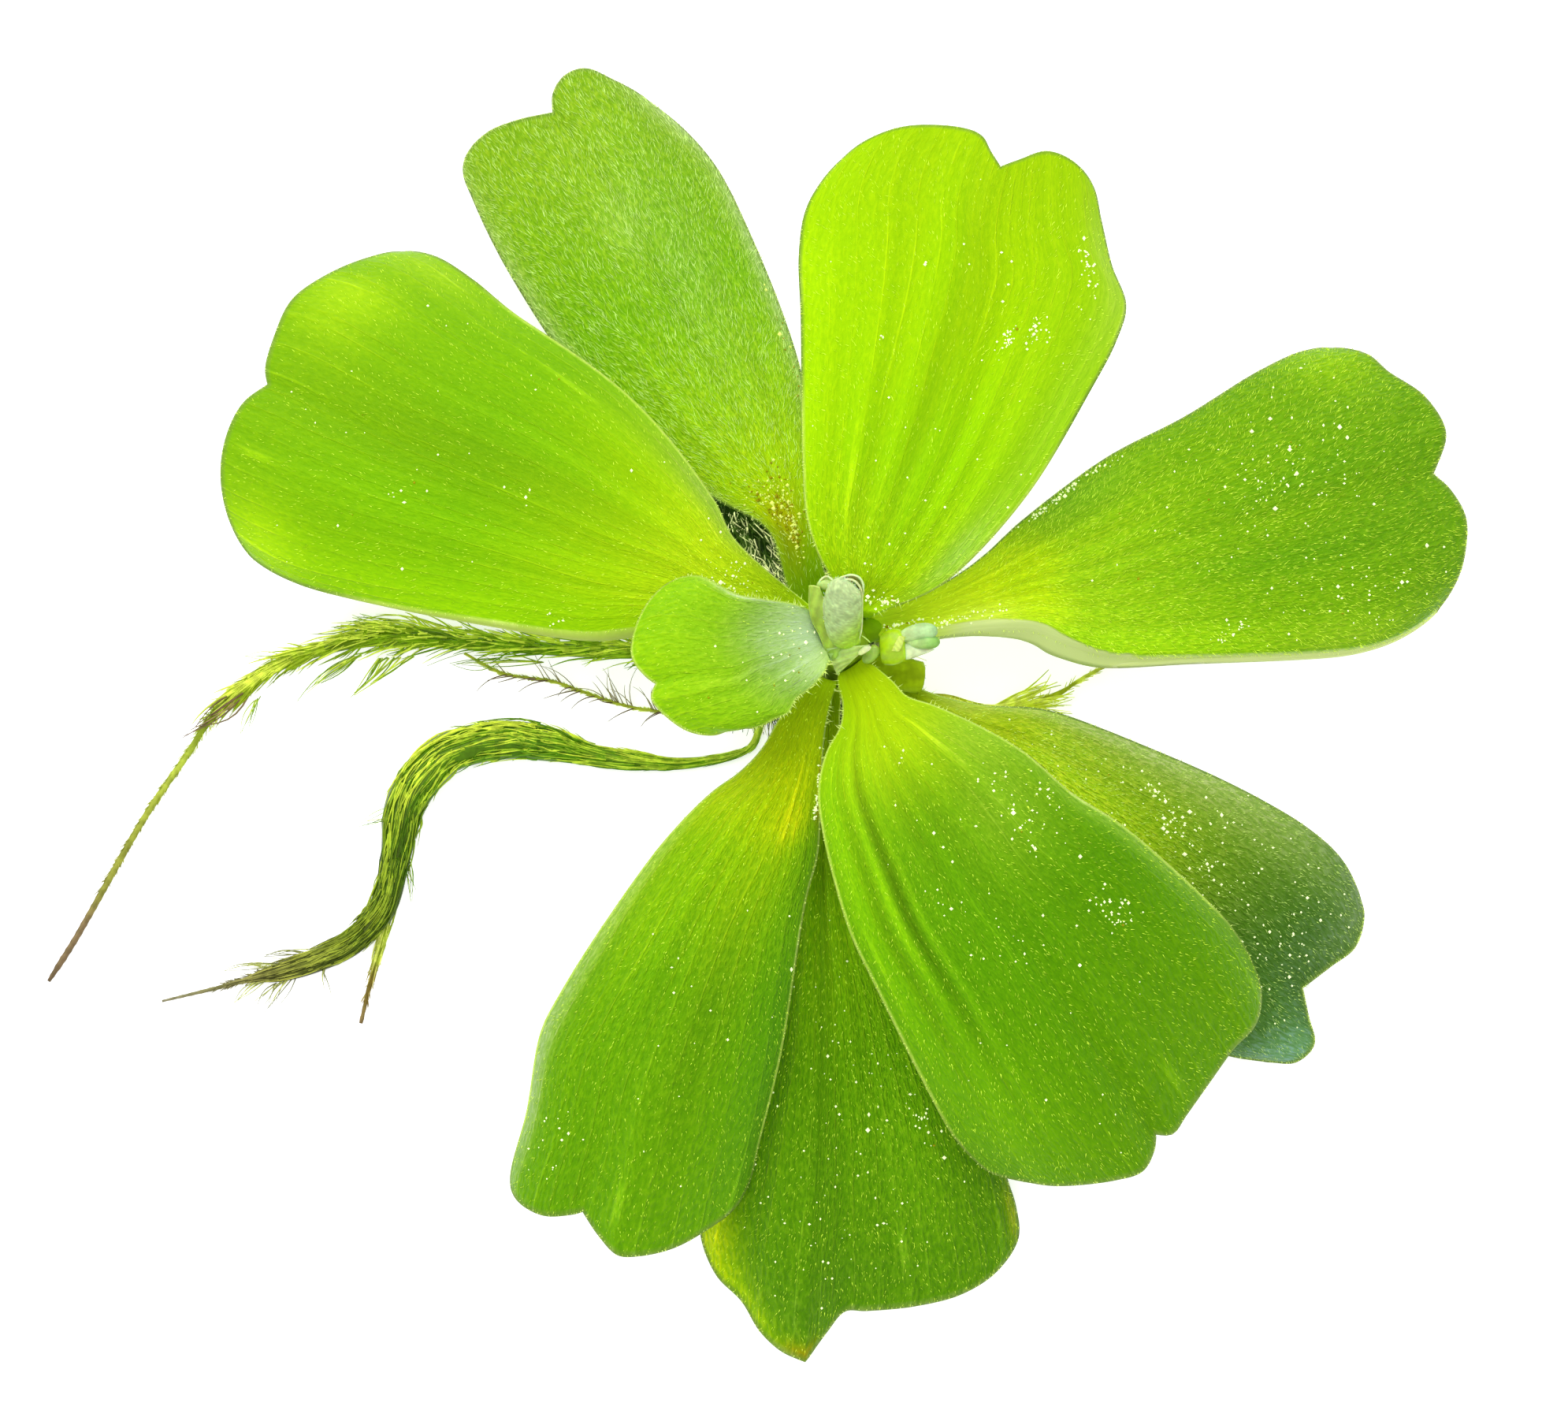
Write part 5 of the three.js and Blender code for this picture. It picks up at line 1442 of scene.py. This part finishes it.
# painted shade under the leaves, and painted light towards one end of the long axis
uncovered = (foot[:, 1:2] < OPEN_NORTH) & (foot[:, :1] > OPEN_WEST)
light = np.where(rng.random((count, 1)) < 0.5, 0.06, rng.random((count, 1)) ** 0.7)
tone_and_painted_shade = light * np.where(uncovered, 1.0, PAINTED_SHADE_UNDER_LEAVES)
painted_light_far_end = np.clip(r * np.cos(angle), 0, 1)[:, None]
thick = rng.uniform(*BRISTLE_RADIUS, (count, 1)) * (1 - 0.6 * run)
coat = mixed(BRISTLE_DARK, BRISTLE_PALE, tone_and_painted_shade[:, 0]) * (1 + 0.35 * painted_light_far_end)
add_part("root_tangle", [mat, tubes(paths, thick, BRISTLE_SIDES, coat[:, None])], tangle_material)

# %% [markdown]
# The small parts in the middle of the rosette are made of three shapes: a closed finger along a short
# path of [x, y, z, half width], a thin sheet between two edges, and a thread along a rim.

# %% Small parts
def ring_directions(stations):
    """Level side and the direction across it at every station of a path."""
    tangent = unit(np.gradient(stations[:, :3], axis=0))
    side = unit(np.cross(tangent, (0.0, 0.0, 1.0)))
    return side, np.cross(side, tangent)


def finger(path, flatness, foot, tip, pebble=0.0, count=44, sides=32, blunt=8):
    """Closed rounded finger: rings of points round a path, drawn in to a small ring at both ends.

    Flatness is its depth against its width, and the higher blunt is, the squarer are its ends.
    """
    line = smooth_curve(path, count)
    side, up = ring_directions(line)
    angle = np.arange(sides) * 2 * np.pi / sides
    t = np.linspace(0, 1, count)[:, None]
    bumps = np.sin(7 * angle + 40 * t) * np.sin(43 * t - 3 * angle) + 0.6 * np.sin(11 * angle - 23 * t)
    girth = line[:, 3:] * np.sqrt(np.clip(1 - (2 * t - 1) ** blunt, 0.0004, 1)) * (1 + pebble * bumps)
    grid = line[:, None, :3] + (girth * np.cos(angle))[..., None] * side[:, None]
    grid = grid + (girth * flatness * np.sin(angle))[..., None] * up[:, None]
    coat = mixed(foot, tip, np.repeat(t, sides, axis=1)) * (1 - pebble * bumps)[..., None]
    return grid.reshape(-1, 3), capped_faces(count, sides), coat.reshape(-1, 3)


def sheet(first, second, arch, colour, rim, rows=44, columns=14, thickness=0.1):
    """Closed thin sheet between two smooth edges, arched upwards and wrinkled, with its own rim colour."""
    share = np.linspace(0, 1, columns)[None]
    grid = mixed(smooth_curve(first, rows)[:, None], smooth_curve(second, rows)[:, None], share)
    run = np.linspace(0, 1, rows)[:, None]
    grid[..., 2] += 4 * arch * share * (1 - share) + 0.03 * np.sin(31 * run + 7 * share)
    normal = unit(np.cross(np.gradient(grid, axis=1), np.gradient(grid, axis=0)))
    back = grid - thickness * normal * np.sign(normal[..., 2:].mean())
    cells = rows * columns
    loop = border(np.arange(cells).reshape(rows, columns))
    edge = np.stack([loop, loop + cells, np.roll(loop, -1) + cells, np.roll(loop, -1)], axis=1)
    faces = [grid_faces(rows, columns), grid_faces(rows, columns, cells, flip=True), edge]
    coat = np.array(colour, float) * (1 + 0.06 * np.sin(23 * run + 9 * share)[..., None])
    for side in (coat[0], coat[-1], coat[:, 0], coat[:, -1]):
        side[:] = rim
    points = np.concatenate([grid.reshape(-1, 3), back.reshape(-1, 3)])
    return points, faces, np.tile(coat.reshape(-1, 3), (2, 1))


def thread(route, radius, colour, sides=6, count=48):
    """Thin round thread along a smooth route, tapered at both ends."""
    line = smooth_curve(route, count)
    run = np.linspace(0, 1, count)
    radii = radius * np.sqrt(np.clip(1 - (2 * run - 1) ** 6, 0.02, 1))
    return tubes(line[None], radii[None], sides, colour)


# %% [markdown]
# The crown is a short fleshy stem, ringed by the scars of old leaves: a profile of radius against height
# turned round the plant's axis, a little wavy. The base of an old leaf, its blade gone, stands out of it
# below the side bud.

# %% Crown
CROWN_PROFILE = [(0.02, 3.1), (1.4, 3.1), (2.0, 3.1), (2.4, 4.2), (2.2, 6.0), (1.9, 7.2), (1.9, 9.6),
                 (1.1, 10.6), (0.6, 11.1), (0.02, 11.4)]
CROWN_RINGS, CROWN_SPOKES = 70, 64
CROWN_FOOT, CROWN_SPAN = 3.1, 8.3
CROWN_BROWN, CROWN_GREEN = (96, 118, 24), (150, 190, 30)
STUMP_COLOURS = (176, 208, 8), (160, 190, 16)
COLLAR_COLOURS = (136, 184, 6), (150, 200, 6)
STUMP = [(1.6, -1.4, 6.6, 1.3), (2.6, -1.7, 7.0, 1.4), (3.75, -1.95, 7.5, 1.4), (5.25, -2.1, 7.6, 1.35),
         (6.3, -2.2, 7.2, 1.3)]
COLLAR = [(0.8, 0.9, 8.4, 0.9), (1.8, 1.4, 8.2, 1.05), (2.8, 1.85, 7.6, 1.0), (3.7, 2.1, 7.1, 0.7)]

profile = smooth_curve(CROWN_PROFILE, CROWN_RINGS)
height = profile[:, 1:]
angle = np.linspace(0, 2 * np.pi, CROWN_SPOKES, endpoint=False)[None]
radius = profile[:, :1] * (1 + 0.03 * np.sin(5 * angle + height) + 0.025 * np.sin(9 * height))
level = np.stack([radius * np.cos(angle), radius * np.sin(angle)], axis=-1)
stem_points = lifted(level, np.repeat(height, CROWN_SPOKES, axis=1))
stem_coat = mixed(CROWN_BROWN, CROWN_GREEN, (stem_points[..., 2] - CROWN_FOOT) / CROWN_SPAN)
stem = (stem_points.reshape(-1, 3), capped_faces(CROWN_RINGS, CROWN_SPOKES), stem_coat.reshape(-1, 3))
stump = finger(STUMP, 0.7, *STUMP_COLOURS, pebble=0.03, blunt=40)
collar = finger(COLLAR, 0.6, *COLLAR_COLOURS)
add_part("crown", [stem, stump, collar], stem_material)

# %% [markdown]
# The furled leaf stands in the middle, a tongue bent over towards the viewer. Its face is whitish,
# pebbled and short-haired, and yellow-green at the foot, with a pale lip round it. Behind it stands the
# back of the roll, higher than the tongue, with a dark sheet in the slit between the two, a painted shade.

# %% Furled leaf
MINT = (189, 214, 146)
FOOT_GREEN = (176, 222, 60)
LIP = (228, 246, 172)
ROLL_GREEN = (176, 218, 104)
SLIT_SHADE = (96, 136, 56)
TONGUE = [(0.42, -1.0, 12.2, 0.85), (0.34, -0.5, 13.2, 1.05), (0.02, 0.2, 14.6, 1.38),
          (-0.1, 1.1, 16.1, 1.5), (-0.1, 2.0, 17.4, 1.48), (0.05, 2.8, 18.4, 1.25),
          (0.25, 3.2, 18.9, 0.9)]
TONGUE_LIP = [(-0.84, 0.47, 14.6), (-1.45, 1.0, 15.2), (-1.58, 1.87, 16.3), (-1.36, 2.5, 17.2),
              (-0.76, 3.03, 18.1), (0.03, 3.28, 18.8), (0.66, 3.24, 18.9), (1.15, 2.88, 18.5),
              (1.37, 2.4, 17.6), (1.4, 1.31, 15.9), (1.38, 0.2, 14.5), (1.2, -0.45, 13.6)]
ROLL_RIM = [(-0.84, 3.47, 16.6), (-0.6, 3.59, 17.2), (0.03, 3.8, 17.6), (0.66, 3.86, 17.8),
            (1.18, 3.64, 17.8), (1.45, 3.19, 17.6), (1.45, 2.7, 17.2)]
ROLL_FOOT = [(-0.95, 1.6, 12.9), (-0.7, 1.9, 12.9), (-0.3, 2.1, 12.9), (0.2, 2.1, 12.9), (0.7, 1.9, 12.9),
             (1.0, 1.6, 12.9), (1.15, 1.2, 12.9)]
ROLL_INSIDE = [(-0.7, 3.2, 17.0), (-0.3, 3.4, 17.6), (0.05, 3.5, 17.9), (0.58, 3.5, 18.1),
               (1.02, 3.25, 18.1), (1.3, 2.9, 17.8), (1.35, 2.6, 17.3)]
SLIT_FOOT = [(x * 0.9, y - 0.25, z - 0.2) for x, y, z in ROLL_INSIDE]
TONGUE_RINGS, TONGUE_SIDES = 60, 48
GREEN_UP_TO, GREEN_LEAN, GREEN_FADE = 13.4, 0.7, 2.9
SPECKLE = 0.055
TONGUE_HAIRS = 420
TONGUE_HAIR = (250, 262, 240)
TONGUE_HAIR_WIDTH = 0.035

tongue_points, tongue_faces, _ = finger(TONGUE, 0.5, FOOT_GREEN, MINT, pebble=0.003, count=TONGUE_RINGS,
                                        sides=TONGUE_SIDES, blunt=12)
x, _, z = tongue_points.T
share = np.clip((z - GREEN_UP_TO - GREEN_LEAN * x) / GREEN_FADE, 0, 1)
speckle = 1 + rng.normal(0, SPECKLE, len(tongue_points))
tongue = (tongue_points, tongue_faces, mixed(FOOT_GREEN, MINT, share) * speckle[:, None])

face = tongue_points.reshape(TONGUE_RINGS, TONGUE_SIDES, 3)[:, TONGUE_SIDES // 2:]
row, column, f, g, _ = random_spots(face, TONGUE_HAIRS)
roots = between(face, row, column, f, g)
roots[:, 2] += LOWEST
length = rng.uniform(0.1, 0.3, (TONGUE_HAIRS, 1))
tips = roots + length * unit(rng.normal(0, 0.5, (TONGUE_HAIRS, 3)) + (0.1, 0.4, 1.0))
normals = np.repeat([(0.0, 1.0, 0.0)], TONGUE_HAIRS, axis=0)
hair_points, hair_faces = spikes(roots, tips, normals, np.full(TONGUE_HAIRS, TONGUE_HAIR_WIDTH))
hairs = (hair_points, [hair_faces], np.repeat([TONGUE_HAIR], len(hair_points), axis=0))
roll = sheet(ROLL_RIM, ROLL_FOOT, 0.0, ROLL_GREEN, LIP, thickness=0.12)
# painted shade: a dark sheet inside the slit
slit_shade = sheet(ROLL_INSIDE, SLIT_FOOT, 0.0, SLIT_SHADE, SLIT_SHADE, columns=5)
lips = [thread(TONGUE_LIP, 0.09, LIP), thread(ROLL_RIM, 0.1, LIP)]
add_part("furled_leaf", [tongue, hairs, roll, slit_shade] + lips, membrane_material)

# %% [markdown]
# The bud in the axil is a small yellow-green cup with a young leaf rolled up in it. The leaf shows as two
# rounded lobes, the upper one blue-green with whitish lights and the lower one darker, and a pale scale
# runs out to a point below them. A pale sheet over the cup's mouth is a painted highlight.

# %% Side bud
CUP_COLOURS = (172, 212, 8), (190, 232, 6)
CUP_FOOT_COLOURS = (158, 198, 84), (164, 206, 60)
CUP_LIP_COLOUR = (206, 238, 90)
MOUTH_HIGHLIGHT_COLOURS = (214, 236, 104), (190, 222, 50)
BUD_TEAL = (160, 208, 138)
BUD_GREEN = (112, 178, 62)
SCALE_COLOURS = (214, 238, 160), (230, 242, 200)
CUP = [(2.9, -0.72, 11.0, 1.1), (3.2, -0.7, 11.1, 1.25), (3.7, -0.62, 11.4, 1.42), (4.3, -0.5, 11.7, 1.4),
       (4.9, -0.38, 11.9, 1.15)]
UPPER_LOBE = [(4.3, 0.1, 11.6, 0.4), (4.66, 0.17, 11.8, 0.5), (5.41, 0.37, 12.2, 0.62),
              (6.28, 0.5, 12.5, 0.66), (7.04, 0.42, 12.6, 0.56), (7.4, 0.34, 12.5, 0.3)]
LOWER_LOBE = [(4.9, -0.25, 11.8, 0.35), (5.4, -0.3, 11.9, 0.42), (6.05, -0.36, 12.2, 0.5),
              (6.76, -0.36, 12.4, 0.55), (7.35, -0.34, 12.3, 0.42), (7.6, -0.34, 12.2, 0.2)]
SCALE = [(3.9, -1.1, 11.3, 0.4), (4.3, -1.08, 11.5, 0.55), (4.9, -1.0, 11.8, 0.66),
         (5.57, -0.93, 11.8, 0.58), (6.36, -0.95, 11.9, 0.28), (7.2, -0.84, 11.9, 0.07)]
CUP_LIP = [(3.2, -1.5, 11.2), (3.9, -1.6, 11.4), (4.7, -1.5, 11.6), (5.4, -1.35, 11.7), (6.0, -1.2, 11.8)]
MOUTH_HIGHLIGHT = ([(3.75, -1.2, 12.8), (3.9, -0.8, 13.0), (4.1, -0.4, 13.1), (4.35, 0.05, 13.0)],
         [(4.4, -1.2, 12.6), (4.6, -0.85, 12.85), (4.75, -0.45, 12.95), (4.85, -0.05, 12.9)])
CUP_FOOT = [(1.5, -1.4, 11.0, 0.35), (1.93, -1.4, 11.2, 0.45), (2.3, -1.04, 11.4, 0.5),
            (2.7, -0.5, 11.4, 0.42)]

parts = [finger(CUP, 0.6, *CUP_COLOURS, blunt=14),
         finger(UPPER_LOBE, 0.85, LIP, BUD_TEAL, pebble=0.015),
         finger(LOWER_LOBE, 0.85, LIP, BUD_GREEN, pebble=0.01),
         finger(SCALE, 0.6, *SCALE_COLOURS),
         finger(CUP_FOOT, 0.8, *CUP_FOOT_COLOURS),
         # painted highlight: a pale sheet over the cup's mouth
         sheet(*MOUTH_HIGHLIGHT, 0.05, *MOUTH_HIGHLIGHT_COLOURS, rows=20, columns=8),
         thread(CUP_LIP, 0.1, CUP_LIP_COLOUR)]
add_part("side_bud", parts, membrane_material)

# %% [markdown]
# The sheath is a thin wet membrane. A strip of it wraps the left side of the furled leaf and curls over
# in a small hood at its upper end. Below, it runs out into a pointed flap that lies over the foot of the
# nearest leaf, beside a tiny cream bract.

# %% Sheath
STRIP_COLOURS = (162, 198, 64), (192, 224, 96)
STRIP_SIDE_COLOURS = (142, 184, 48), (172, 208, 80)
FLAP_COLOURS = (184, 218, 106), (216, 240, 150)
HOOD_COLOURS = (184, 216, 104), (190, 222, 120)
BRACT_COLOURS = (232, 250, 160), (244, 250, 196)
STRIP_OUTER = [(-2.66, 3.62, 15.2), (-2.68, 1.96, 14.6), (-2.39, 0.87, 14.0), (-1.95, 0.14, 13.6),
               (-1.36, -1.16, 12.8), (-1.0, -1.9, 12.2)]
STRIP_INNER = [(-1.9, 3.4, 15.6), (-1.5, 2.21, 15.2), (-1.3, 1.04, 14.6), (-0.7, 0.3, 14.0),
               (-0.1, -0.7, 13.4), (-0.3, -1.6, 12.6)]
STRIP_FOOT = [(-1.9, 2.6, 12.6), (-1.8, 1.7, 12.4), (-1.6, 0.9, 12.2), (-1.3, 0.2, 12.0),
              (-0.9, -0.6, 11.6), (-0.6, -1.2, 11.3)]
FLAP_LEFT = [(-1.36, -1.03, 13.0), (-1.06, -1.72, 12.4), (-0.55, -2.73, 11.4)]
FLAP_RIGHT = [(2.05, -0.8, 13.4), (1.18, -1.48, 12.8), (-0.45, -2.77, 11.4)]
HOOD = [(-2.0, 3.4, 14.9, 0.3), (-1.65, 3.65, 15.2, 0.45), (-1.2, 3.7, 15.3, 0.45),
        (-0.85, 3.5, 15.2, 0.28)]
HOOD_RIM = [(-1.95, 3.54, 15.2), (-1.83, 3.96, 15.5), (-1.32, 4.21, 15.7), (-0.88, 3.88, 15.7),
            (-0.72, 3.6, 15.5)]
BRACT = [(1.15, -1.42, 12.9, 0.14), (1.35, -1.34, 13.1, 0.22), (1.75, -1.1, 13.3, 0.26),
         (2.15, -0.92, 13.2, 0.14)]
LIGHT_RIDGES = [([(-1.63, 0.85, 14.75), (-1.3, 0.75, 14.75), (-1.08, 0.67, 14.7)], (216, 244, 90)),
                ([(-0.9, 0.25, 14.45), (-0.6, 0.0, 14.35), (-0.4, -0.2, 14.2)], (216, 244, 90)),
                ([(1.41, -0.03, 13.3), (1.75, -0.25, 13.2), (2.09, -0.55, 13.0)], (200, 236, 110))]

parts = [sheet(STRIP_OUTER, STRIP_INNER, 0.12, *STRIP_COLOURS),
         sheet(STRIP_OUTER, STRIP_FOOT, 0.0, *STRIP_SIDE_COLOURS),
         sheet(FLAP_LEFT, FLAP_RIGHT, 0.1, *FLAP_COLOURS, rows=30),
         finger(HOOD, 0.8, *HOOD_COLOURS),
         thread(HOOD_RIM, 0.09, LIP),
         finger(BRACT, 0.7, *BRACT_COLOURS)]
ridges = [thread(route, 0.06, colour) for route, colour in LIGHT_RIDGES]
add_part("leaf_sheath", parts + ridges, membrane_material)
